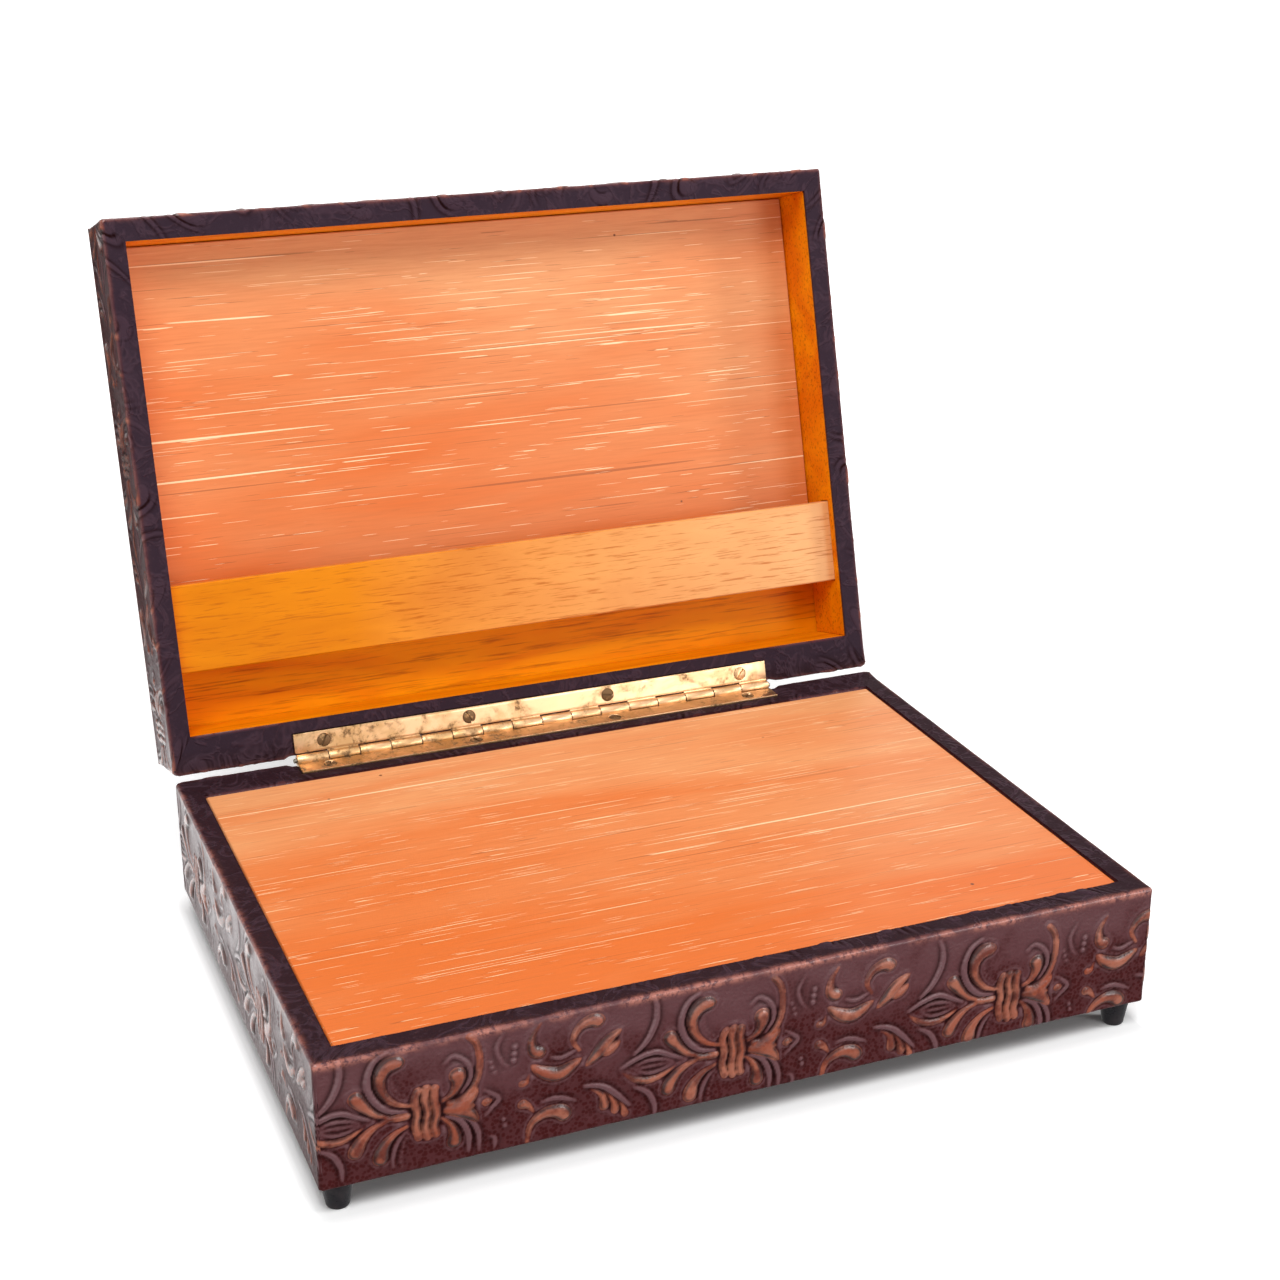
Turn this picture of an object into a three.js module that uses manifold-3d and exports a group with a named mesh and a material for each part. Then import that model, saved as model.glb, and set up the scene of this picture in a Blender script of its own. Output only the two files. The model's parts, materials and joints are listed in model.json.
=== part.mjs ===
import * as THREE from "three";
import { mergeVertices } from "three/addons/utils/BufferGeometryUtils.js";
import Module from "manifold-3d";

// A cigar humidor: a cedar box covered in leather, standing open on its piano hinge.
// Millimetres, +Z up, the front towards -Y, the origin on the table under the middle of the whole.

// The box, measured over its leather
const boxWidth = 250;
const boxDepth = 177;
const baseHeight = 38; // underside of the base to its rim
const lidOpenAngle = 106; // degrees from shut

// Walls: what shows of each rim, leather included
const sideRim = 7;
const frontRim = 7.5;
const hingeRim = 11.5;
const leatherThick = 1.2;
const foldRadius = 1; // where the leather turns over the outer edge of a rim
const seam = 0.3; // glue line or hand fit between neighbouring pieces

// Inside the base
const floorThick = 6;
const linerThick = 4;
const coverThick = 4;
const coverSink = 0.6; // how far the cover lies below the rim
const coverPlay = 0.5; // all round, so that the cover lifts out
const easedEdge = 0.4; // edges of panels and bar, taken off with sandpaper

// Inside the lid
const lidRecess = 20; // rim to the panel
const lidPanelThick = 4;
const lidTopThick = 5;
const barSink = 5; // rim to the face of the bar
const barWidth = 28.5;
const barThick = 4.5;
const barFromHinge = 31.5; // back of the box to the near edge of the bar
const barHousing = 2; // how far each end of the bar is let into the side board
const lidPanelTuck = 10; // how far the panel runs down behind the bar
const moistenerLength = 120;
const moistenerHeight = 16;
const moistenerRound = 2;

// Piano hinge
const hingeLength = 170;
const knuckleCount = 16;
const barrelRadius = 1.9;
const pinRadius = 0.8;
const pinPlay = 0.2;
const pinStandOut = 1;
const pinChamfer = 0.3;
const leafThick = 1;
const leafReach = 8.7; // pin axis to the long edge of a leaf
const leafGap = 0.4; // between the two leaves when the lid is shut
const rimGap = 1.2; // between the two rims when the lid is shut
const hingeSetBack = 1.5; // pin axis behind the back of the box
const runningGap = 0.3; // between knuckles, and round the barrel

// Hinge screws
const screwsPerLeaf = 4;
const screwEndInset = 10;
const screwHeadRadius = 2.1;
const screwHeadDepth = 1;
const screwShankRadius = 1.1;
const screwLength = 7;
const screwPointLength = 1.5;
const screwPlay = 0.2;
const slotWidth = 0.6;
const slotDepth = 0.4;
const slotFirstTurn = 60; // degrees from the length of the hinge
const slotNextTurn = 55; // from each screw to the next

// Turned feet
const footHeight = 8.5;
const footTopRadius = 4.5;
const footTipRadius = 3.5;
const footTipRound = 1;
const footInset = 6; // foot axis from the two nearest outer faces
const pegRadius = 1.6;
const pegLength = 5;

// Fineness of round forms
const barrelSides = 18;
const arcSteps = barrelSides / 2; // a full arc has twice as many
const screwSides = 12;
const footSides = 18;
const foldSteps = 3;

// Levels and places that follow from the sizes
const rimLevel = footHeight + baseHeight;
const lidRimLevel = rimLevel + rimGap;
const axisY = boxDepth / 2 + hingeSetBack;
const axisZ = rimLevel + rimGap / 2;
const backY = boxDepth / 2;
const boardBottom = footHeight + leatherThick + seam;
const boardTop = rimLevel - leatherThick - seam;
const floorTop = boardBottom + floorThick;
const coverTop = rimLevel - coverSink;
const coverBottom = coverTop - coverThick;
const lidBoardBottom = lidRimLevel + leatherThick + seam;
const lidBoardTop = lidRimLevel + lidRecess + lidPanelThick;
const lidTopBottom = lidBoardTop + seam;
const lidLeatherBottom = lidTopBottom + lidTopThick + seam;
const insideWidth = boxWidth - 2 * sideRim;
const insideDepth = boxDepth - frontRim - hingeRim;
const insideMiddle = (frontRim - hingeRim) / 2;
const barNearY = backY - barFromHinge;
const barFarY = barNearY - barWidth;
const barBottom = lidRimLevel + barSink;
const leafStop = barrelRadius + runningGap;
const screwLineY = axisY - (leafReach + leafStop) / 2;

const wasm = await Module();
wasm.setup();

const materials = {
  leather: { color: 0x5a3228, roughness: 0.45, metalness: 0 },
  cedarVeneer: { color: 0xee8a55, roughness: 0.5, metalness: 0 },
  varnishedWood: { color: 0xc86414, roughness: 0.35, metalness: 0 },
  barWood: { color: 0xe09646, roughness: 0.4, metalness: 0 },
  brass: { color: 0xd2aa5a, roughness: 0.3, metalness: 1 },
  steel: { color: 0x9a968e, roughness: 0.4, metalness: 1 },
  blackWood: { color: 0x232026, roughness: 0.35, metalness: 0 },
  clay: { color: 0xc98f6c, roughness: 0.9, metalness: 0 },
};

function piece(name, geometry, materialName) {
  const mesh = new THREE.Mesh(geometry, new THREE.MeshStandardMaterial(materials[materialName]));
  mesh.name = name;
  return mesh;
}

// Joining and cutting

function solidOf(geometry) {
  const bare = geometry.clone();
  bare.deleteAttribute("normal");
  bare.deleteAttribute("uv");
  const merged = mergeVertices(bare);
  const vertProperties = merged.getAttribute("position").array;
  const triVerts = new Uint32Array(merged.index.array);
  return new wasm.Manifold(new wasm.Mesh({ numProp: 3, vertProperties, triVerts }));
}

function geometryOf(solid) {
  const { vertProperties, triVerts } = solid.getMesh();
  const geometry = new THREE.BufferGeometry();
  geometry.setAttribute("position", new THREE.BufferAttribute(vertProperties, 3));
  geometry.setIndex(new THREE.BufferAttribute(triVerts, 1));
  geometry.computeVertexNormals();
  return geometry;
}

function cut(geometry, tools) {
  const left = tools.reduce((solid, tool) => solid.subtract(solidOf(tool)), solidOf(geometry));
  return geometryOf(left);
}

function fuse(geometries) {
  const whole = geometries.map(solidOf).reduce((solid, next) => solid.add(next));
  return geometryOf(whole);
}

// Basic shapes

function block(fromX, toX, fromY, toY, fromZ, toZ) {
  const box = new THREE.BoxGeometry(toX - fromX, toY - fromY, toZ - fromZ);
  return box.translate((fromX + toX) / 2, (fromY + toY) / 2, (fromZ + toZ) / 2);
}

// A flat board with its edges taken off by ease.
function easedSlab(width, fromY, toY, bottom, thick, ease) {
  const halfWidth = width / 2 - ease;
  const outline = new THREE.Shape();
  outline.moveTo(-halfWidth, fromY + ease);
  outline.lineTo(halfWidth, fromY + ease);
  outline.lineTo(halfWidth, toY - ease);
  outline.lineTo(-halfWidth, toY - ease);
  outline.closePath();
  const bevel = { bevelThickness: ease, bevelSize: ease, bevelSegments: 1 };
  const slab = new THREE.ExtrudeGeometry(outline, { depth: thick - 2 * ease, ...bevel });
  return slab.translate(0, 0, bottom + ease);
}

// A form turned about a vertical axis, from its profile of radius and height.
function turned(profile, sides) {
  const points = profile.map(([radius, height]) => new THREE.Vector2(radius, height));
  return new THREE.LatheGeometry(points, sides).rotateX(Math.PI / 2);
}

// A section in the plane of Y and Z, drawn out along X.
const acrossToX = new THREE.Matrix4().makeBasis(
  new THREE.Vector3(0, 1, 0),
  new THREE.Vector3(0, 0, 1),
  new THREE.Vector3(1, 0, 0),
);

function drawnAlongX(section, fromX, toX, curveSegments) {
  const options = { depth: toX - fromX, bevelEnabled: false, curveSegments };
  return new THREE.ExtrudeGeometry(section, options).applyMatrix4(acrossToX).translate(fromX, 0, 0);
}

// Mitred frames: four rails round a rectangle, each known by the side it stands on

const sides = ["front", "right", "back", "left"];
const wallRing = {
  width: boxWidth,
  depth: boxDepth,
  middle: 0,
  rims: { front: frontRim, right: sideRim, back: hingeRim, left: sideRim },
};
const linerRing = {
  width: insideWidth - 2 * seam,
  depth: insideDepth - 2 * seam,
  middle: insideMiddle,
  rims: { front: linerThick, right: linerThick, back: linerThick, left: linerThick },
};

// The profile runs inwards from the outer face of the ring, and up. Each mitre goes from the outer
// corner to the inner one, so rails of different width still meet along one line.
function mitredRail(ring, side, profile) {
  const place = sides.indexOf(side);
  const alongX = place % 2 === 0;
  const length = alongX ? ring.width : ring.depth;
  const reach = (alongX ? ring.depth : ring.width) / 2;
  const startSlope = ring.rims[sides[(place + 3) % 4]] / ring.rims[side];
  const endSlope = ring.rims[sides[(place + 1) % 4]] / ring.rims[side];
  const options = { depth: 1, bevelEnabled: false, curveSegments: foldSteps };
  const rail = new THREE.ExtrudeGeometry(profile, options);
  const position = rail.getAttribute("position");
  for (let i = 0; i < position.count; i += 1) {
    const inward = position.getX(i);
    const atStart = position.getZ(i) === 0;
    const half = (length - seam) / 2;
    const along = atStart ? inward * startSlope - half : half - inward * endSlope;
    position.setXYZ(i, along, inward - reach, position.getY(i));
  }
  rail.rotateZ((place * Math.PI) / 2).translate(0, ring.middle, 0);
  rail.computeVertexNormals();
  return rail;
}

function boardProfile(outer, inner, bottom, top) {
  const profile = new THREE.Shape();
  profile.moveTo(outer, bottom);
  profile.lineTo(inner, bottom);
  profile.lineTo(inner, top);
  profile.lineTo(outer, top);
  profile.closePath();
  return profile;
}

// Leather over one wall: across the rim, round the outer edge, along the wall, and under it by turnIn.
function leatherProfile(rim, rimHeight, farHeight, turnIn) {
  const away = Math.sign(farHeight - rimHeight);
  const profile = new THREE.Shape();
  profile.moveTo(rim, rimHeight);
  profile.lineTo(foldRadius, rimHeight);
  profile.quadraticCurveTo(0, rimHeight, 0, rimHeight + away * foldRadius);
  profile.lineTo(0, farHeight);
  if (turnIn > leatherThick) {
    profile.lineTo(turnIn, farHeight);
    profile.lineTo(turnIn, farHeight - away * leatherThick);
    profile.lineTo(leatherThick, farHeight - away * leatherThick);
  } else {
    profile.lineTo(leatherThick, farHeight);
  }
  profile.lineTo(leatherThick, rimHeight + away * leatherThick);
  profile.lineTo(rim, rimHeight + away * leatherThick);
  profile.closePath();
  return profile;
}

// Feet, and the peg holes that they go into

const footPlaces = {
  front_left: [-1, -1],
  front_right: [1, -1],
  back_left: [-1, 1],
  back_right: [1, 1],
};

function footCentre([towardX, towardY]) {
  return [towardX * (boxWidth / 2 - footInset), towardY * (boxDepth / 2 - footInset)];
}

function footGeometry() {
  const seat = footHeight - seam;
  const profile = [[0, 0]];
  for (let step = 0; step <= foldSteps; step += 1) {
    const angle = ((step / foldSteps) * Math.PI) / 2;
    const radius = footTipRadius - footTipRound * (1 - Math.sin(angle));
    profile.push([radius, footTipRound * (1 - Math.cos(angle))]);
  }
  profile.push([footTopRadius, seat], [pegRadius, seat]);
  profile.push([pegRadius, footHeight + pegLength], [0, footHeight + pegLength]);
  return turned(profile, footSides);
}

function pegHoles() {
  const bottom = footHeight - seam;
  const top = footHeight + pegLength + seam;
  const radius = pegRadius + seam;
  const profile = [[0, bottom], [radius, bottom], [radius, top], [0, top]];
  return Object.values(footPlaces).map((place) =>
    turned(profile, screwSides).translate(...footCentre(place), 0),
  );
}

// Hinge, modelled shut; the leaf with level -1 lies on the base and the one with +1 on the lid

const knucklePitch = hingeLength / knuckleCount;

function leafPlate(level) {
  const near = axisZ + (level * leafGap) / 2;
  const far = near + level * leafThick;
  const ends = [-hingeLength / 2, hingeLength / 2];
  return block(...ends, axisY - leafReach, axisY - leafStop, Math.min(near, far), Math.max(near, far));
}

// The eye that rolls round the pin, with a short tail that runs into the leaf.
function eyeSection(level) {
  const near = (level * leafGap) / 2;
  const far = near + level * leafThick;
  const nearAngle = Math.PI - Math.asin(near / barrelRadius);
  const farAngle = Math.PI - Math.asin(far / barrelRadius);
  const tail = -leafStop - leafThick / 2;
  const section = new THREE.Shape();
  section.moveTo(tail, near);
  section.lineTo(tail, far);
  section.absarc(0, 0, barrelRadius, farAngle, nearAngle, level > 0);
  section.closePath();
  const bore = new THREE.Path();
  bore.absarc(0, 0, pinRadius + pinPlay, 0, 2 * Math.PI, level < 0); // wound against the outline
  section.holes.push(bore);
  return section;
}

function leafGeometry(level, firstKnuckle) {
  const parts = [leafPlate(level)];
  const section = eyeSection(level);
  for (let knuckle = firstKnuckle; knuckle < knuckleCount; knuckle += 2) {
    const fromX = -hingeLength / 2 + knuckle * knucklePitch + runningGap / 2;
    const toX = fromX + knucklePitch - runningGap;
    parts.push(drawnAlongX(section, fromX, toX, arcSteps).translate(0, axisY, axisZ));
  }
  return cut(fuse(parts), screwTools(level, screwPlay));
}

function pinGeometry() {
  const half = hingeLength / 2 + pinStandOut;
  const flat = half - pinChamfer;
  const tip = pinRadius - pinChamfer;
  const profile = [[0, -half], [tip, -half], [pinRadius, -flat], [pinRadius, flat], [tip, half], [0, half]];
  return turned(profile, screwSides).rotateY(Math.PI / 2).translate(0, axisY, axisZ);
}

// A countersunk screw, point down, its head level with zero; the same form with play cuts its hole.
function screwForm(play) {
  const head = screwHeadRadius + play;
  const shank = screwShankRadius + play;
  const neck = -screwHeadDepth;
  const tip = -screwLength - play;
  const profile = [[0, tip], [shank, tip + screwPointLength], [shank, neck], [head, 0]];
  const way = play > 0 ? [[head, leafThick], [0, leafThick]] : [[0, 0]];
  return turned([...profile, ...way], screwSides);
}

function screwPlaces() {
  const first = screwEndInset - hingeLength / 2;
  const step = (hingeLength - 2 * screwEndInset) / (screwsPerLeaf - 1);
  return Array.from({ length: screwsPerLeaf }, (unused, i) => first + i * step);
}

function atLeaf(geometry, level, x) {
  const face = axisZ + (level * leafGap) / 2;
  return geometry.rotateX(level > 0 ? Math.PI : 0).translate(x, screwLineY, face);
}

function screwTools(level, play) {
  return screwPlaces().map((x) => atLeaf(screwForm(play), level, x));
}

// Each slot is left at its own angle, as a hand-driven screw is.
function screwGeometry(level, x, order) {
  const half = screwHeadRadius + screwPlay;
  const slot = block(-half, half, -slotWidth / 2, slotWidth / 2, -slotDepth, slotDepth);
  const turn = THREE.MathUtils.degToRad(slotFirstTurn + order * slotNextTurn);
  return atLeaf(cut(screwForm(0), [slot.rotateZ(turn)]), level, x);
}

// Room in the leather for a leaf and for the barrel.
function hingeRecess(level) {
  const half = hingeLength / 2 + runningGap;
  const bed = axisZ + level * (leafGap / 2 + leafThick + seam);
  const fromY = axisY - leafReach - runningGap;
  const recess = block(-half, half, fromY, axisY, Math.min(bed, axisZ), Math.max(bed, axisZ));
  const grooveHalf = half + pinStandOut;
  const radius = barrelRadius + runningGap;
  const ends = [[0, -grooveHalf], [radius, -grooveHalf], [radius, grooveHalf], [0, grooveHalf]];
  const groove = turned(ends, barrelSides).rotateY(Math.PI / 2).translate(0, axisY, axisZ);
  return [recess, groove];
}

// Base

const humidor = new THREE.Group();
const base = new THREE.Group();
const holes = pegHoles();
const baseScrews = screwTools(-1, screwPlay);
humidor.add(base);

for (const side of sides) {
  const rim = wallRing.rims[side];
  const atHinge = side === "back" ? baseScrews : [];
  const board = boardProfile(leatherThick + seam, rim, boardBottom, boardTop);
  const boardGeometry = cut(mitredRail(wallRing, side, board), [...holes, ...atHinge]);
  base.add(piece(`base_board_${side}`, boardGeometry, "varnishedWood"));

  const skin = leatherProfile(rim, rimLevel, footHeight, rim);
  const bed = side === "back" ? hingeRecess(-1) : [];
  const skinGeometry = cut(mitredRail(wallRing, side, skin), [...holes, ...atHinge, ...bed]);
  base.add(piece(`base_leather_${side}`, skinGeometry, "leather"));

  const liner = boardProfile(0, linerThick, floorTop + seam, coverBottom - seam);
  base.add(piece(`base_liner_${side}`, mitredRail(linerRing, side, liner), "varnishedWood"));
}

const floorFront = insideMiddle - insideDepth / 2 + seam;
const floorBack = insideMiddle + insideDepth / 2 - seam;
const floorHalf = insideWidth / 2 - seam;
const floorBlock = block(-floorHalf, floorHalf, floorFront, floorBack, boardBottom, floorTop);
base.add(piece("base_floor", cut(floorBlock, holes), "varnishedWood"));

for (const [name, place] of Object.entries(footPlaces)) {
  const foot = piece(`foot_${name}`, footGeometry(), "blackWood");
  foot.position.set(...footCentre(place), 0);
  base.add(foot);
}

const coverFront = insideMiddle - insideDepth / 2 + coverPlay;
const coverBack = insideMiddle + insideDepth / 2 - coverPlay;
const coverWidth = insideWidth - 2 * coverPlay;
const cover = easedSlab(coverWidth, coverFront, coverBack, coverBottom, coverThick, easedEdge);
humidor.add(piece("cover_panel", cover, "cedarVeneer"));

// Lid, modelled shut and then swung open about the pin

const lidSwing = new THREE.Group();
const lid = new THREE.Group();
const lidScrews = screwTools(1, screwPlay);
lidSwing.position.set(0, axisY, axisZ);
lidSwing.rotation.x = -THREE.MathUtils.degToRad(lidOpenAngle);
lid.position.set(0, -axisY, -axisZ);
lidSwing.add(lid);
humidor.add(lidSwing);

// The bar goes into a housing in each side board.
const housingHalf = insideWidth / 2 + barHousing;
const housing = block(
  -housingHalf,
  housingHalf,
  barFarY - seam,
  barNearY + seam,
  barBottom - seam,
  barBottom + barThick + seam,
);

for (const side of sides) {
  const rim = wallRing.rims[side];
  const board = boardProfile(leatherThick + seam, rim, lidBoardBottom, lidBoardTop);
  const atHinge = side === "back" ? lidScrews : [];
  const boardGeometry = cut(mitredRail(wallRing, side, board), [housing, ...atHinge]);
  lid.add(piece(`lid_board_${side}`, boardGeometry, "varnishedWood"));

  const skin = leatherProfile(rim, lidRimLevel, lidLeatherBottom - seam, 0);
  const bed = side === "back" ? hingeRecess(1) : [];
  const skinGeometry = cut(mitredRail(wallRing, side, skin), [...atHinge, ...bed]);
  lid.add(piece(`lid_leather_${side}`, skinGeometry, "leather"));
}

const topInset = leatherThick + seam;
const topHalf = boxWidth / 2 - topInset;
const topEnds = [topInset - boxDepth / 2, boxDepth / 2 - topInset];
const topBoard = block(-topHalf, topHalf, ...topEnds, lidTopBottom, lidTopBottom + lidTopThick);
lid.add(piece("lid_top_board", topBoard, "varnishedWood"));

const topLeather = easedSlab(boxWidth, -backY, backY, lidLeatherBottom, leatherThick, easedEdge);
lid.add(piece("lid_leather_top", topLeather, "leather"));

const panelFront = insideMiddle - insideDepth / 2 + seam;
const panelBack = barFarY + lidPanelTuck;
const panelWidth = insideWidth - 2 * seam;
const panelBottom = lidRimLevel + lidRecess;
const lidPanel = easedSlab(panelWidth, panelFront, panelBack, panelBottom, lidPanelThick, easedEdge);
lid.add(piece("lid_panel", lidPanel, "cedarVeneer"));

const barLength = 2 * (housingHalf - seam);
const bar = easedSlab(barLength, barFarY, barNearY, barBottom, barThick, easedEdge);
lid.add(piece("lid_bar", bar, "barWood"));

// A porous clay block in the pocket behind the bar keeps the air moist.
const moistenerFrontY = panelBack + seam;
const moistenerBottom = barBottom + barThick + seam;
const moistener = easedSlab(
  moistenerLength,
  moistenerFrontY,
  moistenerFrontY + moistenerHeight,
  moistenerBottom,
  lidTopBottom - seam - moistenerBottom,
  moistenerRound,
);
lid.add(piece("moistener_block", moistener, "clay"));

// Hinge pieces, each with the part it is screwed to

base.add(piece("hinge_leaf_base", leafGeometry(-1, 0), "brass"));
base.add(piece("hinge_pin", pinGeometry(), "steel"));
lid.add(piece("hinge_leaf_lid", leafGeometry(1, 1), "brass"));
screwPlaces().forEach((x, order) => {
  base.add(piece(`base_hinge_screw_${order + 1}`, screwGeometry(-1, x, order), "brass"));
  lid.add(piece(`lid_hinge_screw_${order + 1}`, screwGeometry(1, x, order + 1), "brass"));
});

// The origin goes under the middle of the open humidor.
humidor.updateMatrixWorld(true);
const extent = new THREE.Box3().setFromObject(humidor, true);
humidor.position.y = -(extent.min.y + extent.max.y) / 2;

const part = new THREE.Group();
part.add(humidor);

export default part;
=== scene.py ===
import json
import math

import bpy
import numpy as np
from mathutils import Matrix, Vector


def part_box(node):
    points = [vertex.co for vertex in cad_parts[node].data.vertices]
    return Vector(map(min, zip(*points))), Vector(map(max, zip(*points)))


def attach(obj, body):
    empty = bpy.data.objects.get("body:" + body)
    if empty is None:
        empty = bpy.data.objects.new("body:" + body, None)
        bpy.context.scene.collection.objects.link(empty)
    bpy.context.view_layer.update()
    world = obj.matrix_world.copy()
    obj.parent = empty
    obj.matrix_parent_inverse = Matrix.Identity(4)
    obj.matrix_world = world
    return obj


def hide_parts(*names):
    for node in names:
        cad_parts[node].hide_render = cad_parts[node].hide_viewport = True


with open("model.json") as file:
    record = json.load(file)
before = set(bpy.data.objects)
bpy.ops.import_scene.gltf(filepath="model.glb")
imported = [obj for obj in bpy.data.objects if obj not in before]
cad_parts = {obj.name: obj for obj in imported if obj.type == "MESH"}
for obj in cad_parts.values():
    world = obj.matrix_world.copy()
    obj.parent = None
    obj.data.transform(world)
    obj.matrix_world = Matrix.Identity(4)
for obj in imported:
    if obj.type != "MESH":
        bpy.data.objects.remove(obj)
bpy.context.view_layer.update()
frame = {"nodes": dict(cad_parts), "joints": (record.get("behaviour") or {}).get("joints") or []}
mm = 0.001
sides = ["front", "right", "back", "left"]

# the lid is shaped shut, like the base, and then swung open about the pin
hinge = next(joint for joint in frame["joints"] if joint["name"] == "lid_hinge")
pinPlace = Vector(hinge["pos_m"])
openTurn = Matrix.Rotation(-math.radians(hinge["range_deg"][1]), 4, "X")
swingOpen = Matrix.Translation(pinPlace) @ openTurn @ Matrix.Translation(-pinPlace)
swingShut = swingOpen.inverted()


def shutBox(node):
    points = [swingShut @ vertex.co for vertex in frame["nodes"][node].data.vertices]
    return Vector(map(min, zip(*points))), Vector(map(max, zip(*points)))


boxOf = {"base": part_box, "lid": shutBox}


# hand tools

def deselectAll():
    if bpy.context.mode != "OBJECT":
        bpy.ops.object.mode_set(mode="OBJECT")
    bpy.ops.object.select_all(action="DESELECT")


def takeUp(piece):
    deselectAll()
    piece.select_set(True)
    bpy.context.view_layer.objects.active = piece


def editAll(piece):
    takeUp(piece)
    bpy.ops.object.mode_set(mode="EDIT")
    bpy.ops.mesh.select_all(action="SELECT")


def pickOpenEdges():
    bpy.ops.mesh.select_all(action="DESELECT")
    bpy.ops.mesh.select_non_manifold(extend=False, use_boundary=True)


def faceOutwards():
    bpy.ops.mesh.select_all(action="SELECT")
    bpy.ops.mesh.normals_make_consistent(inside=False)
    bpy.ops.object.mode_set(mode="OBJECT")


def applyAll(piece):
    takeUp(piece)
    for modifier in list(piece.modifiers):
        bpy.ops.object.modifier_apply(modifier=modifier.name)


def settle(piece):
    takeUp(piece)
    bpy.ops.object.transform_apply(location=True, rotation=True, scale=True)


def joinPieces(pieces, name):
    takeUp(pieces[0])
    for piece in pieces:
        piece.select_set(True)
    bpy.ops.object.join()
    bpy.context.object.name = name
    return bpy.context.object


def discard(piece):
    mesh = piece.data
    bpy.data.objects.remove(piece)
    bpy.data.meshes.remove(mesh)


def layGrid(name, points):
    # faces between neighbouring points, given in rows
    deselectAll()
    rows, columns = points.shape[:2]
    bpy.ops.mesh.primitive_grid_add(x_subdivisions=columns - 1, y_subdivisions=rows - 1, size=1)
    sheet = bpy.context.object
    sheet.name = name
    sheet.data.vertices.foreach_set("co", points.ravel())
    sheet.data.update()
    return sheet


def pointsOf(piece):
    points = np.empty(len(piece.data.vertices) * 3)
    piece.data.vertices.foreach_get("co", points)
    return points.reshape(-1, 3)


def smoothBy(piece, degrees):
    takeUp(piece)
    bpy.ops.object.shade_smooth_by_angle(angle=math.radians(degrees))


def dress(piece, body, finish, node):
    piece.data.materials.clear()
    piece.data.materials.append(finish)
    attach(piece, body)
    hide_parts(node)


# node moves that the stage and the finishes share

class Nodes:
    def __init__(self, tree):
        self.tree = tree

    def put(self, value, socket):
        # an output is linked, a constant goes on the socket itself
        if isinstance(value, bpy.types.NodeSocket):
            self.tree.links.new(value, socket)
        else:
            socket.default_value = value

    def add(self, kind, inputs, **settings):
        node = self.tree.nodes.new("ShaderNode" + kind)
        for name, value in settings.items():
            setattr(node, name, value)
        for name, value in inputs.items():
            self.put(value, node.inputs[name])
        return node.outputs

    def along(self, axis, vector):
        return self.add("SeparateXYZ", {0: vector})[axis]

    def span(self, value, low, high, toLow=0.0, toHigh=1.0):
        ends = {"From Min": low, "From Max": high, "To Min": toLow, "To Max": toHigh}
        return self.add("MapRange", {"Value": value, **ends})[0]

    def worked(self, operation, first, second=0.0):
        return self.add("Math", {0: first, 1: second}, operation=operation)[0]

    def plus(self, first, second):
        return self.worked("ADD", first, second)

    def minus(self, first, second):
        return self.worked("SUBTRACT", first, second)

    def times(self, first, second):
        return self.worked("MULTIPLY", first, second)

    def larger(self, first, second):
        return self.worked("MAXIMUM", first, second)

    def vectors(self, operation, first, second=(0, 0, 0)):
        return self.add("VectorMath", {0: first, 1: second}, operation=operation)

    def chosen(self, share, ifNot, ifSo):
        return self.add("Mix", {"Factor": share, "A": ifNot, "B": ifSo})["Result"]


class Finish(Nodes):
    # a material under way
    def __init__(self, name, sockets):
        self.material = bpy.data.materials.new(name)
        self.material.use_nodes = True
        super().__init__(self.material.node_tree)
        self.shader = self.tree.nodes["Principled BSDF"]
        self.place = self.add("TexCoord", {})["Object"]
        self.set(sockets)

    def set(self, sockets):
        for name, value in sockets.items():
            self.put(value, self.shader.inputs[name])
        return self.material

    def noise(self, scale, detail=3.0, roughness=0.5, distortion=0.0, vector=None):
        kind = {"Scale": scale, "Detail": detail, "Roughness": roughness, "Distortion": distortion}
        return self.add("TexNoise", {"Vector": vector or self.place, **kind})["Fac"]

    def grain(self, along, across, detail, roughness=0.5, distortion=0.0, turn=0.0, shift=0.0):
        # noise drawn out along the width of the box
        moves = {"Location": (0, shift, -shift), "Rotation": (0, 0, turn), "Scale": (along, across, across)}
        drawn = self.add("Mapping", {"Vector": self.place, **moves})[0]
        return self.noise(1.0, detail, roughness, distortion, drawn)

    def cells(self, scale):
        return self.add("TexVoronoi", {"Vector": self.place, "Scale": scale})["Distance"]

    def attribute(self, name):
        return self.add("Attribute", {}, attribute_name=name)["Fac"]

    def mix(self, share, first, second):
        colors = [(*color, 1) if isinstance(color, tuple) else color for color in (first, second)]
        return self.add("Mix", {"Factor": share, "A": colors[0], "B": colors[1]}, data_type="RGBA")["Result"]

    def bump(self, height, distance, strength, below=None):
        inputs = {"Height": height, "Distance": distance, "Strength": strength}
        if below:
            inputs["Normal"] = below
        return self.add("Bump", inputs)[0]


# camera, light and floor

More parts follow.
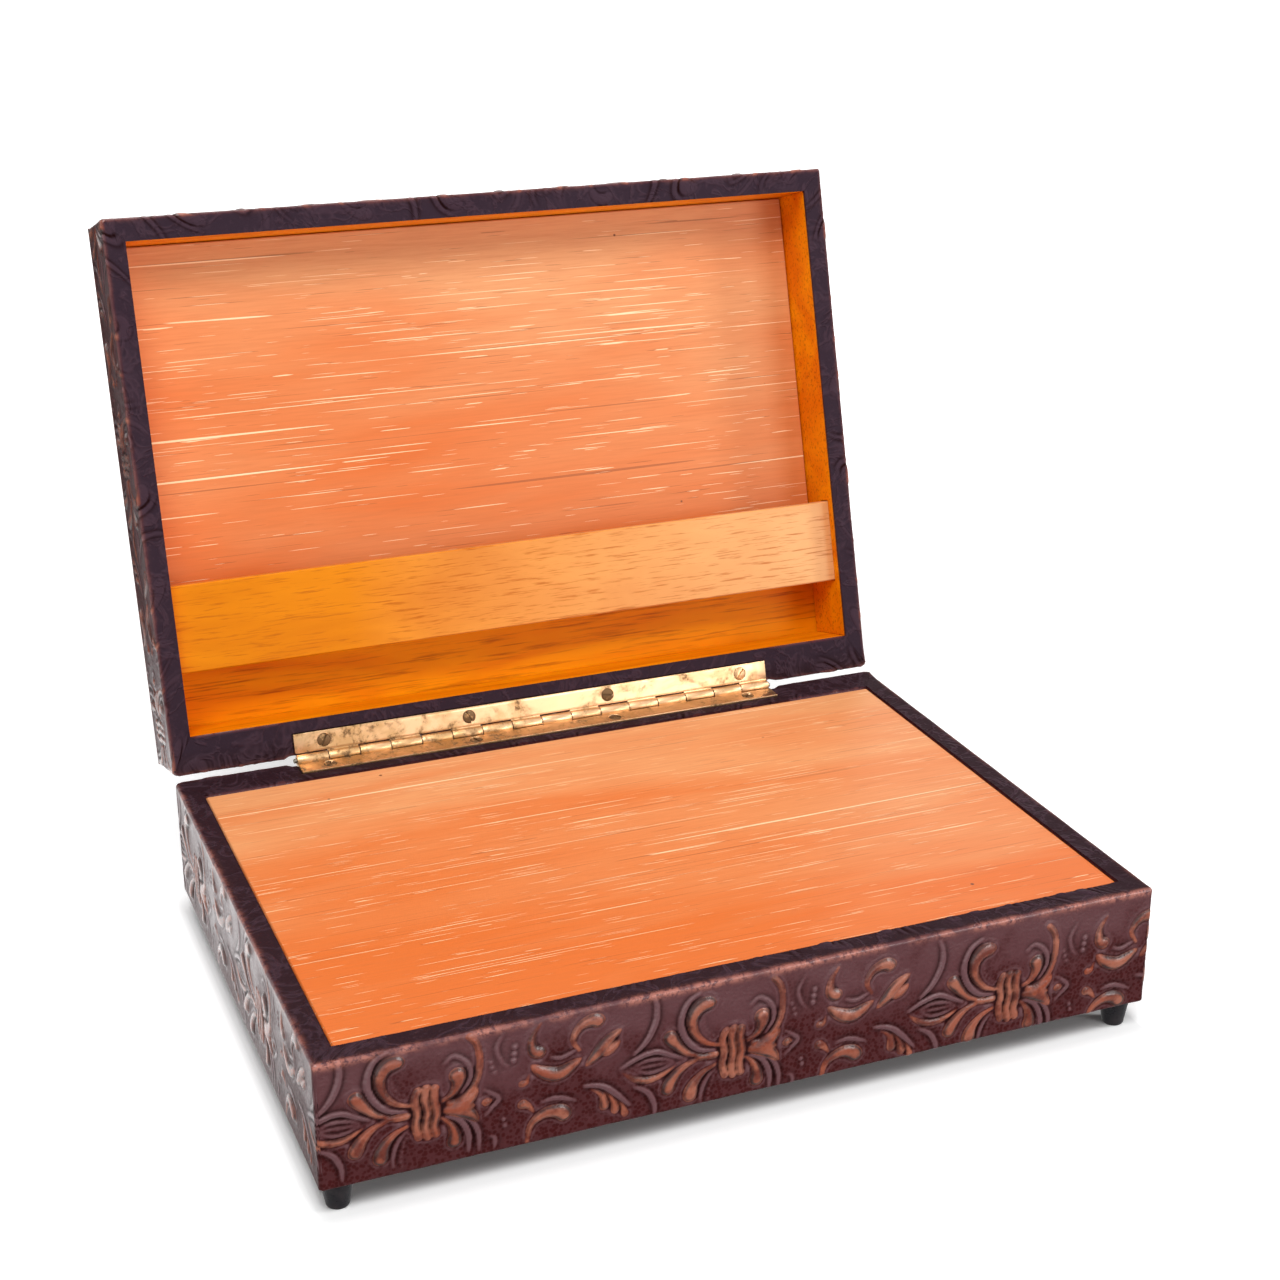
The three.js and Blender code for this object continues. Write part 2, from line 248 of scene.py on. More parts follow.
view = {
    "eye": (-224.4 * mm, -592.0 * mm, 347.1 * mm),
    "target": (3.0 * mm, -32.5 * mm, 106.8 * mm),
    "lens": 61.2,
    "sensor": 36.0,
    "nearest": 10.0 * mm,
}
light = {
    "sky": 0.3,
    "glossFront": 0.8,      # what a gloss sees of the room in front of the box and behind it
    "glossBack": 1.2,
    "glossTurn": (-0.5, 0.5),
    "lamps": {
        "key": {"place": (-0.1, 0.4, 1.5), "aim": (0.0, -0.04, 0.05), "size": 0.8, "power": 5.5},
        "top": {"place": (-0.35, -0.6, 1.3), "aim": (0.0, -0.1, 0.05), "size": 0.45, "power": 5.0},
        "fill": {"place": (-0.6, -1.0, 1.7), "aim": (0.0, 0.0, 0.1), "size": 1.0, "power": 16.0},
        "glare": {"place": (0.95, -1.6, 0.5), "aim": (0.1, 0.08, 0.1), "size": 0.7, "power": 8.0},
        "rake": {"place": (1.5, -0.62, 0.95), "aim": (0.0, -0.1, 0.05), "size": 0.35, "power": 12.0},
    },
}
floorLook = {
    "half": 8.0,
    "albedo": 0.86,
    "seenAlbedo": 0.92,     # the floor is over-exposed, as in the photograph
    "lift": 0.35,           # glow towards the eye just outside the box and far from it
    "liftFrom": (0.0, 0.012),
    "liftSpread": (4, 1, 0),
    "farLift": 0.6,
    "farFrom": (0.3, 1.0),
    "glossAlbedo": 0.18,    # what a gloss sees of the floor, and its glow beside the box
    "glossLift": 1.2,
    # painted glare: this screw of the lid's leaf is kept bright
    "glossFrom": (-0.16, -0.02),
    "glossTo": (0.15, 0.32),
    "aheadLift": 1.15,      # and well in front of it
    "aheadFrom": (-0.185, -0.245),
}


def aimAt(place, target):
    return (Vector(target) - Vector(place)).to_track_quat("-Z", "Y").to_euler()


def setCamera():
    bpy.ops.object.camera_add(location=view["eye"], rotation=aimAt(view["eye"], view["target"]))
    camera = bpy.context.object
    camera.name = "photoView"
    camera.data.lens = view["lens"]
    camera.data.sensor_width = view["sensor"]
    camera.data.clip_start = view["nearest"]
    bpy.context.scene.camera = camera


def setLamps():
    for name, lamp in light["lamps"].items():
        rotation = aimAt(lamp["place"], lamp["aim"])
        bpy.ops.object.light_add(type="AREA", location=lamp["place"], rotation=rotation)
        bpy.context.object.name = name + "Lamp"
        bpy.context.object.data.size = lamp["size"]
        bpy.context.object.data.energy = lamp["power"]


def setSky():
    world = bpy.data.worlds.new("studio")
    world.use_nodes = True
    sky = Nodes(world.node_tree)
    rays = sky.add("LightPath", {})
    away = sky.along("Y", sky.add("TexCoord", {})["Generated"])
    gloss = sky.span(away, *light["glossTurn"], light["glossFront"], light["glossBack"])
    lit = sky.chosen(rays["Is Glossy Ray"], light["sky"], gloss)
    background = sky.tree.nodes["Background"]
    sky.put((1, 1, 1, 1), background.inputs["Color"])
    sky.put(sky.chosen(rays["Is Camera Ray"], lit, 1.0), background.inputs["Strength"])
    bpy.context.scene.world = world


def setFloor():
    look = floorLook
    deselectAll()
    bpy.ops.mesh.primitive_plane_add(size=2 * look["half"])
    floor = bpy.context.object
    floor.name = "studioFloor"
    matt = {"Roughness": 1.0, "Specular IOR Level": 0.0, "Emission Color": (1, 1, 1, 1)}
    paper = Finish("paleFloor", matt)
    # outside the footprint the floor is lifted to the white of the backdrop
    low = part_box("base_leather_front")[0]
    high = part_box("base_leather_back")[1]
    fromMiddle = paper.vectors("SUBTRACT", paper.place, (low + high) / 2)["Vector"]
    folded = paper.vectors("ABSOLUTE", fromMiddle)["Vector"]
    fromBox = paper.vectors("SUBTRACT", folded, (high - low) / 2)["Vector"]
    beyond = paper.vectors("MAXIMUM", fromBox)["Vector"]
    away = paper.vectors("LENGTH", paper.vectors("MULTIPLY", beyond, look["liftSpread"])["Vector"])["Value"]
    nearGlow = paper.span(away, *look["liftFrom"], 0.0, look["lift"])
    farGlow = paper.span(away, *look["farFrom"], 0.0, look["farLift"])
    depth = paper.along("Y", paper.place)
    rising = paper.span(depth, *look["glossFrom"], 0.0, look["glossLift"])
    beside = paper.times(rising, paper.span(depth, *look["glossTo"], 1.0, 0.0))
    ahead = paper.span(depth, *look["aheadFrom"], 0.0, look["aheadLift"])
    rays = paper.add("LightPath", {})
    glossed = paper.chosen(rays["Is Glossy Ray"], look["albedo"], look["glossAlbedo"])
    shown = paper.chosen(rays["Is Camera Ray"], glossed, look["seenAlbedo"])
    toEye = paper.times(paper.plus(nearGlow, farGlow), rays["Is Camera Ray"])
    toGloss = paper.times(paper.plus(beside, ahead), rays["Is Glossy Ray"])
    glow = paper.plus(toEye, toGloss)
    floor.data.materials.append(paper.set({"Base Color": shown, "Emission Strength": glow}))


setCamera()
setLamps()
setSky()
setFloor()
print("stage set")


# finishes; a noise is given by its scale, detail, roughness and distortion, a grain by its fineness along and
# across, detail, roughness, distortion and turn, a span by its ends and what they become, a bump by its
# distance and strength

def rgb(red, green, blue):
    # screen colour, 0 to 255, as linear light
    def linear(value):
        share = value / 255
        return share / 12.92 if share <= 0.04045 else ((share + 0.055) / 1.055) ** 2.4
    return tuple(linear(value) for value in (red, green, blue))


leatherLook = {
    "ground": rgb(86, 43, 47),
    # one screw gets a bright finish, painted glare
    "stipple": rgb(62, 13, 13),
    # painted shade: the colour of the hollows beside the forms
    "hollow": rgb(28, 8, 8),
    # painted highlight: the ridges are lighter and lilac
    "ridge": rgb(99, 61, 65),
    # painted shade: the colour down the steep flanks of the forms
    "flank": rgb(58, 18, 13),
    "burnt": rgb(92, 28, 14),
    "crest": rgb(137, 62, 38),
    "crestPale": rgb(156, 90, 68),
    "rim": rgb(39, 21, 27),
    "lidRim": rgb(47, 33, 43),
    "rimWorn": rgb(70, 50, 60),
    "fold": rgb(180, 112, 96),
    "shader": {"Roughness": 0.4, "Coat Roughness": 0.18},
    "patches": (38.0, 4.0, 0.6),
    "sinking": (0.0, 1.0, -0.2, 0.27),      # painted shade: the dark stipple spreads further towards the foot of a wall
    "matting": 900.0,
    "speckled": (0.35, 0.6, 1.0, 0.55),
    "stippled": (0.4, 0.58),
    "ridged": (0.2, 0.8),
    "fading": (95.0, 3.0),
    "faded": (0.35, 0.62),
    "ageing": (150.0, 3.0, 0.55),
    "aged": (0.48, 0.62, 0.0, 0.85),
    "rubbing": (160.0, 4.0),
    "rubbed": (0.3, 0.7, -0.25, 0.25),
    "flanked": (0.2, 0.7),
    "raised": (0.15, 0.5),
    "wrinkling": (70.0, 3.0, 0.6, 1.2),
    "wrinkled": (0.0, 0.05, 1.0, 0.0),
    "wrinkleTone": 0.55,
    "scuffing": (420.0, 5.0, 0.7, 0.4),
    "scuffed": (0.55, 0.75, 0.0, 0.6),
    "lidLevel": (50.0 * mm, 55.0 * mm),     # between the rims of base and lid
    "fraying": (420.0, 5.0, 0.75),
    "frayed": (0.4, 0.54),
    "grain": (1400.0, 3.0, 0.6),
    "clouded": (0.3, 0.7, -0.2, 0.2),
    "wallRough": (0.2, 0.9, 0.28, 0.5),
    "rimRougher": 0.27,
    "polished": (0.35, 0.6, 0.6, 0.06),
    "proud": (0.0, 1.0, 1.0, 0.15),         # a hollow shines less
    "rimCoat": (0.0, 0.6, 0.95, 0.0),
    "rimSheen": (0.0, 0.6, 0.3, 0.07),
    "stippleSheen": (0.0, 1.0, 1.0, 0.4),
    "pebbled": (0.0, 0.7),
    "pebbleBump": (0.12 * mm, 0.35),
    "grainBump": (0.15 * mm, 0.35),
    "wrinkleBump": (0.35 * mm, 0.8),
}


def makeLeather():
    look = leatherLook
    skin = Finish("embossedLeather", look["shader"])
    names = ("emboss", "ridge", "hollow", "steep", "low", "onRim", "worn")
    forms, ridges, hollow, steep, low, onRim, worn = (skin.attribute(name) for name in names)
    patches = skin.noise(*look["patches"])
    matting = skin.cells(look["matting"])
    pressed = skin.larger(forms, ridges)

    # walls: stippled ground, ridges with painted highlight, and forms worn lighter on top, with painted shade
    # down their flanks and in the hollows beside them
    # stipple patches, plus painted shade growing towards the foot of each wall
    stippleAndFootShade = skin.plus(patches, skin.span(low, *look["sinking"]))
    stippled = skin.times(skin.span(stippleAndFootShade, *look["stippled"]), skin.span(matting, *look["speckled"]))
    plain = skin.mix(stippled, look["ground"], look["stipple"])
    # painted highlight along the ridges and contours
    ground = skin.mix(skin.span(ridges, *look["ridged"]), plain, look["ridge"])
    faded = skin.span(skin.noise(*look["fading"]), *look["faded"])
    tan = skin.mix(faded, look["crest"], look["crestPale"])
    aged = skin.mix(skin.span(skin.noise(*look["ageing"]), *look["aged"]), tan, look["burnt"])
    # painted shade: the slope of a form, broken up by noise, darkens its flanks
    rubbed = skin.plus(steep, skin.span(skin.noise(*look["rubbing"]), *look["rubbed"]))
    shaded = skin.mix(skin.span(rubbed, *look["flanked"]), aged, look["flank"])
    raised = skin.mix(skin.span(forms, *look["raised"]), ground, shaded)
    # painted shade: the hollows beside the forms are darkened
    wall = skin.mix(hollow, raised, look["hollow"])

    # rims: darker, wrinkled and scuffed, with painted highlight along the wrinkles, painted shade in their
    # hollows and a frayed line along the fold
    waves = skin.worked("ABSOLUTE", skin.minus(skin.noise(*look["wrinkling"]), 0.5))
    wrinkles = skin.times(skin.span(waves, *look["wrinkled"]), onRim)
    scuffed = skin.span(skin.noise(*look["scuffing"]), *look["scuffed"])
    # real scuffs, and painted highlight: the wrinkles are drawn lighter
    scuffsAndHighlights = skin.larger(scuffed, skin.times(wrinkles, look["wrinkleTone"]))
    onLid = skin.span(skin.along("Z", skin.place), *look["lidLevel"])
    rimBare = skin.mix(onLid, look["rim"], look["lidRim"])
    rimWorn = skin.mix(skin.larger(scuffsAndHighlights, pressed), rimBare, look["rimWorn"])
    rim = skin.mix(hollow, rimWorn, look["hollow"])
    frayed = skin.times(worn, skin.span(skin.noise(*look["fraying"]), *look["frayed"]))
    color = skin.mix(frayed, skin.mix(onRim, wall, rim), look["fold"])

    # gloss: most on what stands proud, least in the hollows and on the rims
    grain = skin.noise(*look["grain"])
    cloudy = skin.plus(grain, skin.span(patches, *look["clouded"]))
    rough = skin.plus(skin.span(cloudy, *look["wallRough"]), skin.times(onRim, look["rimRougher"]))
    proud = skin.span(hollow, *look["proud"])
    polished = skin.larger(skin.span(stippleAndFootShade, *look["polished"]), pressed)
    coat = skin.times(skin.times(polished, proud), skin.span(onRim, *look["rimCoat"]))
    sheen = skin.times(proud, skin.span(onRim, *look["rimSheen"]))
    pebble = skin.bump(skin.span(matting, *look["pebbled"]), *look["pebbleBump"])
    grained = skin.bump(grain, *look["grainBump"], pebble)
    normal = skin.bump(wrinkles, *look["wrinkleBump"], grained)
    return skin.set({
        "Base Color": color,
        "Roughness": rough,
        "Specular IOR Level": skin.times(sheen, skin.span(stippled, *look["stippleSheen"])),
        "Coat Weight": coat,
        "Normal": normal,
        "Coat Normal": normal,
    })


veneerLook = {
    "salmon": rgb(224, 155, 102),
    "orange": rgb(215, 108, 42),
    "dark": rgb(188, 100, 48),
    "streak": rgb(252, 216, 172),
    "shade": rgb(128, 62, 28),
    "fleck": rgb(110, 58, 30),
    "shader": {"Roughness": 0.48, "Specular IOR Level": 0.35},
    "broad": (5, 26, 3.0, 0.5, 0.6),
    "cover": ("Y", -121.0 * mm, 36.0 * mm),  # painted sheen: redder at the first end of the panel, paler at the other
    "lid": ("Z", 60.0 * mm, 200.0 * mm),
    "ends": (-0.28, 0.28),
    "warm": (0.3, 0.75),
    "fibres": (55, 1200, 4.0, 0.65),
    "fibrous": (0.42, 0.75, 0.0, 0.32),
    "clusters": (7, 90, 3.0, 0.6),          # slits lie closer in some bands than in others
    "clustered": (0.3, 0.7, 0.035, -0.02),
    "long": (19, 2500, 0.0, 0.5, 0.0, 0.01),
    "short": (58, 3200, 0.0, 0.5, 0.0, -0.008),
    "slit": (0.772, 0.785),
    "cracks": (7, 950, 0.0, 0.5, 0.0, 0.008),
    "cracked": (0.815, 0.82),
    "lip": 0.22,                            # offset of a slit's dark lip, a painted shadow, in widths of a slit
    "lipDepth": 0.5,
    "flecks": 45.0,
    "flecked": (0.02, 0.03, 1.0, 0.0),
    "bump": (0.06 * mm, 0.3),
}


def makeVeneer(name, panel):
    look = veneerLook
    axis, warmEnd, sheenEnd = look[panel]
    wood = Finish(name, look["shader"])
    fibres = wood.grain(*look["fibres"])
    # painted sheen: the panel grows paler towards its second end
    ends = wood.span(wood.along(axis, wood.place), warmEnd, sheenEnd, *look["ends"])
    warm = wood.span(wood.plus(wood.grain(*look["broad"]), ends), *look["warm"])
    base = wood.mix(warm, look["orange"], look["salmon"])
    grained = wood.mix(wood.span(fibres, *look["fibrous"]), base, look["dark"])
    gate = wood.span(wood.grain(*look["clusters"]), *look["clustered"])
    slits = []
    for shift in (0.0, look["lip"]):
        long, short, cracks = (wood.grain(*look[kind], shift) for kind in ("long", "short", "cracks"))
        fine = wood.larger(wood.minus(long, gate), wood.minus(short, gate))
        slits.append(wood.larger(wood.span(fine, *look["slit"]), wood.span(cracks, *look["cracked"])))
    # painted shadow: a dark lip beside each slit
    lipped = wood.mix(wood.times(slits[1], look["lipDepth"]), grained, look["shade"])
    streaked = wood.mix(slits[0], lipped, look["streak"])
    flecks = wood.span(wood.cells(look["flecks"]), *look["flecked"])
    color = wood.mix(flecks, streaked, look["fleck"])
    return wood.set({"Base Color": color, "Normal": wood.bump(fibres, *look["bump"])})


varnishLook = {
    "light": rgb(248, 156, 4),
    "deep": rgb(230, 120, 0),
    "line": rgb(160, 66, 0),
    "shader": {"Roughness": 0.4, "Specular IOR Level": 0.06},
    "figure": (9, 60, 3.0, 0.5, 0.8),
    "figured": (0.35, 0.65),
    "lines": (40, 900, 4.0, 0.6, 0.2),
    "lined": (0.52, 0.72, 0.0, 0.75),
    "bump": (0.05 * mm, 0.25),
}
barLook = {
    "light": rgb(225, 137, 8),
    "deep": rgb(210, 120, 2),
    "line": rgb(180, 90, 4),
    "pale": rgb(233, 184, 134),
    "shader": {"Roughness": 0.3, "Specular IOR Level": 0.14},
    "figure": (14, 45, 4.0, 0.55, 1.2),
    "figured": (0.35, 0.65),
    "bleached": (-0.06, 0.13, 0.0, 0.8),    # painted sheen, paler towards the right end, across the box
    "bleachedFigure": (0.2, 0.7, 0.6, 1.0),
    "lines": (90, 1500, 3.0, 0.6, 0.1),
    "lined": (0.54, 0.68, 0.0, 0.75),
    "bump": (0.05 * mm, 0.25),
}


def makeWood(name, look):
    wood = Finish(name, look["shader"])
    figure = wood.grain(*look["figure"])
    lines = wood.grain(*look["lines"])
    base = wood.mix(wood.span(figure, *look["figured"]), look["deep"], look["light"])
    if "pale" in look:
        # painted sheen: the bar is paler towards its right end
        bleached = wood.span(wood.along("X", wood.place), *look["bleached"])
        share = wood.times(bleached, wood.span(figure, *look["bleachedFigure"]))
        base = wood.mix(share, base, look["pale"])
    color = wood.mix(wood.span(lines, *look["lined"]), base, look["line"])
    return wood.set({"Base Color": color, "Normal": wood.bump(lines, *look["bump"])})


boardLook = {
    "stain": rgb(40, 28, 26),
    "deepStain": rgb(30, 20, 20),
    "shader": {"Roughness": 0.6, "Specular IOR Level": 0.15},
    "lined": (0.4, 0.75),
    "edge": 0.1 * mm,       # half the height over which one finish gives way to the other
}


def makeFloorBoard():
    # varnished above, stained dark below
    look = boardLook
    board = Finish("stainedBoard", look["shader"])
    lines = board.span(board.grain(*varnishLook["lines"]), *look["lined"])
    above = board.mix(lines, varnishLook["light"], varnishLook["deep"])
    below = board.mix(lines, look["stain"], look["deepStain"])
    low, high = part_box("base_floor")
    middle = (low.z + high.z) / 2
    upper = board.span(board.along("Z", board.place), middle - look["edge"], middle + look["edge"])
    return board.set({"Base Color": board.mix(upper, below, above)})


brassLook = {
    "bright": rgb(230, 188, 144),
    "dull": rgb(196, 156, 108),
    "stain": rgb(118, 92, 66),
    "shader": {"Roughness": 0.35, "Metallic": 1.0},
    "wear": {"leaf": 0.0, "screw": 0.8, "cleanScrew": 0.1},     # from 0, rubbed bright, to 1, brown all over
    "dulled": (0.04, -0.09, -0.05, 0.1),    # across the box, from bright metal with painted glare at the right end to metal tarnished all over at the left
    "clouds": (55.0, 5.0, 0.65, 0.5),
    "tarnished": (0.44, 0.6),
    "clouded": (0.46, 0.58),
    "browning": 0.3,                        # how far wear brings these two down
    "spots": (300.0, 4.0, 0.7),
    "spotted": (0.5, 0.64),
    "spotting": 0.2,
    "rough": (0.35, 1.2, 0.3, 0.65),
    "scratches": (90, 2500, 3.0, 0.6),
    "bump": (0.02 * mm, 0.4),
}


def makeBrass(name, kind):
    look = brassLook
    wear = look["wear"][kind]
    metal = Finish(name, look["shader"])
    # painted glare towards the right end of the leaf, real tarnish towards the left
    glareAndTarnishShift = metal.span(metal.along("X", metal.place), *look["dulled"])
    clouds = metal.plus(metal.noise(*look["clouds"]), glareAndTarnishShift)

    def wornSpan(value, ends, loss):
        return metal.span(value, *(end - loss * wear for end in ends))

    tarnished = wornSpan(clouds, look["tarnished"], look["browning"])
    tarnish = metal.mix(tarnished, look["bright"], look["dull"])
    clouded = wornSpan(clouds, look["clouded"], look["browning"])
    spotted = wornSpan(metal.noise(*look["spots"]), look["spotted"], look["spotting"])
    stains = metal.times(clouded, spotted)
    return metal.set({
        "Base Color": metal.mix(stains, tarnish, look["stain"]),
        "Roughness": metal.span(metal.plus(clouds, stains), *look["rough"]),
        "Normal": metal.bump(metal.grain(*look["scratches"]), *look["bump"]),
    })


steelLook = {
    "dark": rgb(120, 114, 104),
    "light": rgb(168, 162, 150),
    "shader": {"Roughness": 0.4, "Metallic": 1.0},
    "clouds": (400.0, 4.0, 0.6),
    "clouded": (0.35, 0.65),
    "rough": (0.3, 0.7, 0.3, 0.5),
}
lacquerLook = {
    "dark": rgb(28, 25, 30),
    "light": rgb(52, 44, 46),
    "shader": {"Roughness": 0.3, "Specular IOR Level": 0.3},
    "clouds": (260.0, 4.0, 0.6),
    "clouded": (0.45, 0.75),
    "rough": (0.3, 0.7, 0.22, 0.42),
}
clayLook = {
    "dark": rgb(178, 112, 80),
    "light": rgb(206, 150, 116),
    "shader": {"Roughness": 0.9},
    "clouds": (200.0, 4.0, 0.6),
    "clouded": (0.3, 0.7),
    "pits": 1500.0,
    "pitted": (0.0, 0.6),
    "bump": (0.1 * mm, 0.6),
}


def makeClouded(name, look):
    finish = Finish(name, look["shader"])
    clouds = finish.noise(*look["clouds"])
    sockets = {"Base Color": finish.mix(finish.span(clouds, *look["clouded"]), look["dark"], look["light"])}
    if "rough" in look:
        sockets["Roughness"] = finish.span(clouds, *look["rough"])
    if "pits" in look:
        pits = finish.span(finish.cells(look["pits"]), *look["pitted"])
        sockets["Normal"] = finish.bump(pits, *look["bump"])
    return finish.set(sockets)


leather = makeLeather()
coverVeneer = makeVeneer("coverVeneer", "cover")
lidVeneer = makeVeneer("lidVeneer", "lid")
varnish = makeWood("orangeVarnish", varnishLook)
floorBoard = makeFloorBoard()
barWood = makeWood("goldenWood", barLook)
brass = makeBrass("agedBrass", "leaf")
screwBrass = makeBrass("brownedBrass", "screw")
cleanScrew = makeBrass("cleanBrass", "cleanScrew")
steel = makeClouded("dullSteel", steelLook)
lacquer = makeClouded("blackLacquer", lacquerLook)
clay = makeClouded("porousClay", clayLook)
print("finishes mixed")


# the carved block that the leather is pressed over, in millimetres about the knot of one lily

die = {
    "pitch": 87.0,          # from one lily to the next along a wall
    "rowShift": 43.5,       # half-drop to the next row
    "rowPitch": 42.0,
    "relief": 1.9,          # height that the widest forms near
    "sharpness": 0.7,       # how quickly a rounded form rises
    "spacing": 0.6,         # of the points along a stroke
    "roundness": 3,
    "lineTip": 0.5,         # share of the width that a line keeps at its ends, and a petal at its point
    "petalTip": 0.28,
    "petalGrowth": 1.5,
    "petalFull": 0.8,       # where along it a petal is widest
    "leafFullness": 0.75,
    "bluntness": 0.0025,    # square of the share that is left at a rounded end
    "beadPitch": 2.6,       # in radii of a bead, like the next
    "beadSpacing": 0.3,
    "across": 5,            # lilies in a row, and rows on a wall
    "rows": 3,
    "above": 10,            # height that a sheet is laid down from, in heights of the relief
}

dieStrokes = [
    # the knot
    ("strand", 1.15, [(-1.6, 8.4), (-2.9, 4.5), (-2.2, 0.5), (-2.7, -3.5), (-1.5, -8.0)]),
    ("strand", 1.15, [(0.5, 8.8), (-0.2, 4.4), (0.5, 0.2), (-0.1, -4.0), (0.8, -8.4)]),
    ("strand", 1.15, [(2.7, 8.4), (2.3, 4.0), (3.0, -0.2), (2.3, -4.1), (3.0, -8.0)]),
    # stem and the two petals that it parts into
    ("strand", 1.0, [(-3.8, 0.3), (-7.0, 0.2), (-11.0, 0.6)]),
    ("petal", 2.0, [(-9.0, 0.6), (-13.5, 2.6), (-17.0, 6.3), (-19.8, 10.1)]),
    ("petal", 2.0, [(-9.0, 0.4), (-14.0, -1.5), (-17.5, -5.0), (-19.7, -9.4)]),
    # upper left scroll
    ("petal", 2.2, [(-3.9, 3.0), (-8.0, 4.6), (-11.3, 8.2), (-12.2, 12.3), (-10.6, 15.7), (-7.8, 16.8),
                    (-6.2, 15.2)]),
    ("line", 1.0, [(-4.4, 1.5), (-9.8, 2.7), (-13.8, 6.8), (-15.4, 12.2), (-13.6, 18.0), (-9.4, 20.8)]),
    ("beads", 0.5, [(-9.0, 12.2), (-8.3, 9.0), (-6.3, 6.8), (-3.9, 5.6)]),
    # upper right comma and the curls round it
    ("petal", 2.3, [(4.4, 2.6), (7.4, 4.4), (9.0, 8.0), (7.8, 11.8)]),
    ("line", 0.7, [(4.6, 13.0), (7.6, 15.4), (11.4, 12.6), (12.2, 8.0), (9.4, 3.4)]),
    ("strand", 0.95, [(5.4, 1.5), (9.2, 1.7), (13.0, 5.1), (14.7, 11.0), (14.0, 17.6), (11.0, 21.5)]),
    # tulip and its bud
    ("leaf", 1.8, [(4.2, -0.1), (8.0, 0.2), (11.5, 1.4), (14.6, 5.0)]),
    ("leaf", 1.8, [(4.2, -0.6), (8.5, -1.2), (11.8, -2.6), (14.7, -6.2)]),
    ("leaf", 2.1, [(5.0, -0.4), (9.0, -0.5), (13.8, -0.6)]),
    ("line", 0.65, [(15.0, 4.0), (17.8, 2.2), (20.0, 0.0), (18.0, -2.4), (15.4, -5.0)]),
    ("leaf", 1.2, [(14.9, -0.4), (16.7, -0.2), (18.4, -0.1)]),
    # lower right comma and its ridges
    ("petal", 2.0, [(4.2, -2.2), (6.6, -4.8), (7.8, -8.2), (7.4, -12.2)]),
    ("line", 0.85, [(4.8, -1.8), (9.4, -4.4), (11.6, -9.0), (11.6, -14.8)]),
    ("line", 0.75, [(6.0, -1.4), (11.8, -4.4), (14.4, -9.4), (14.4, -15.4)]),
    # lower left petal with its beaded edge
    ("petal", 2.1, [(-4.6, -2.6), (-8.5, -4.6), (-11.5, -8.2), (-12.6, -13.0)]),
    ("line", 0.6, [(-4.6, -3.8), (-7.4, -7.0), (-8.9, -11.2), (-8.8, -15.4)]),
    ("beads", 0.5, [(-4.6, -5.2), (-6.0, -8.2), (-6.8, -12.3), (-6.6, -15.2)]),
    # long veined leaf
    ("line", 0.85, [(-33.4, 1.1), (-28.0, 3.8), (-22.7, 4.8), (-18.2, 2.8), (-14.2, 0.9)]),
    ("leaf", 1.0, [(-33.4, 1.2), (-29.0, -2.2), (-25.0, -3.5), (-20.5, -2.8), (-15.5, 0.0)]),
    ("line", 0.55, [(-29.0, 1.3), (-25.0, 2.5), (-20.5, 2.1), (-17.0, 0.8)]),
    ("line", 0.55, [(-29.0, 0.6), (-25.0, -1.4), (-21.0, -1.2), (-17.0, 0.4)]),
    ("line", 0.45, [(-30.5, 0.9), (-24.0, 0.6), (-17.0, 0.6)]),
    # long arcs that part the lilies
    ("line", 0.9, [(-29.5, 4.8), (-25.4, 8.7), (-22.9, 14.0), (-22.7, 19.0), (-24.2, 23.0)]),
    ("line", 0.8, [(-29.5, -4.4), (-24.9, -7.2), (-22.7, -11.5), (-22.6, -16.0)]),
    # acanthus between the lilies
    ("petal", 2.0, [(-44.5, 9.7), (-46.5, 13.5), (-44.3, 17.3), (-40.4, 18.4), (-38.2, 16.4)]),
    ("leaf", 1.8, [(-43.4, 4.3), (-39.8, 7.6), (-36.6, 11.2), (-32.2, 14.6)]),
    ("leaf", 1.3, [(-39.2, 7.4), (-36.2, 8.0), (-32.8, 11.2)]),
    ("line", 0.9, [(-44.0, -1.2), (-38.0, -2.6), (-33.6, -6.2), (-29.4, -10.8)]),
    ("petal", 1.4, [(-41.2, -2.8), (-38.1, -5.2), (-37.0, -10.2)]),
    ("petal", 1.2, [(-37.4, -4.2), (-35.0, -7.2), (-33.8, -12.0)]),
    ("petal", 1.0, [(-34.2, -7.2), (-32.0, -9.8), (-31.0, -13.6)]),
    ("petal", 1.8, [(31.6, 20.8), (29.2, 16.6), (29.6, 12.4), (33.0, 11.4)]),
    ("petal", 1.1, [(28.4, 6.1), (27.4, 3.2), (25.2, 3.6)]),
    ("leaf", 2.1, [(28.2, 8.8), (32.3, 5.4), (37.2, 4.2), (43.6, 8.0)]),
    ("line", 0.65, [(33.4, 9.9), (37.4, 8.7), (42.4, 10.8)]),
    ("petal", 1.5, [(29.9, -6.4), (27.9, -3.9), (25.2, -2.7)]),
    ("petal", 2.2, [(27.6, -15.4), (29.0, -10.0), (33.2, -7.2), (37.4, -7.8), (39.2, -10.6)]),
    ("line", 0.7, [(31.0, -3.9), (36.2, -3.3), (42.4, -5.6)]),
    ("line", 0.6, [(16.8, -10.6), (18.8, -11.6), (18.6, -15.4)]),
    ("line", 0.55, [(21.6, 20.0), (19.4, 15.4), (20.6, 11.2), (22.6, 8.6)]),
    ("beads", 0.8, [(24.4, 14.6), (24.0, 10.0)]),
    ("beads", 0.7, [(21.3, -6.6), (22.0, -9.6)]),
    ("beads", 0.6, [(18.8, 8.0), (17.4, 12.0)]),
]


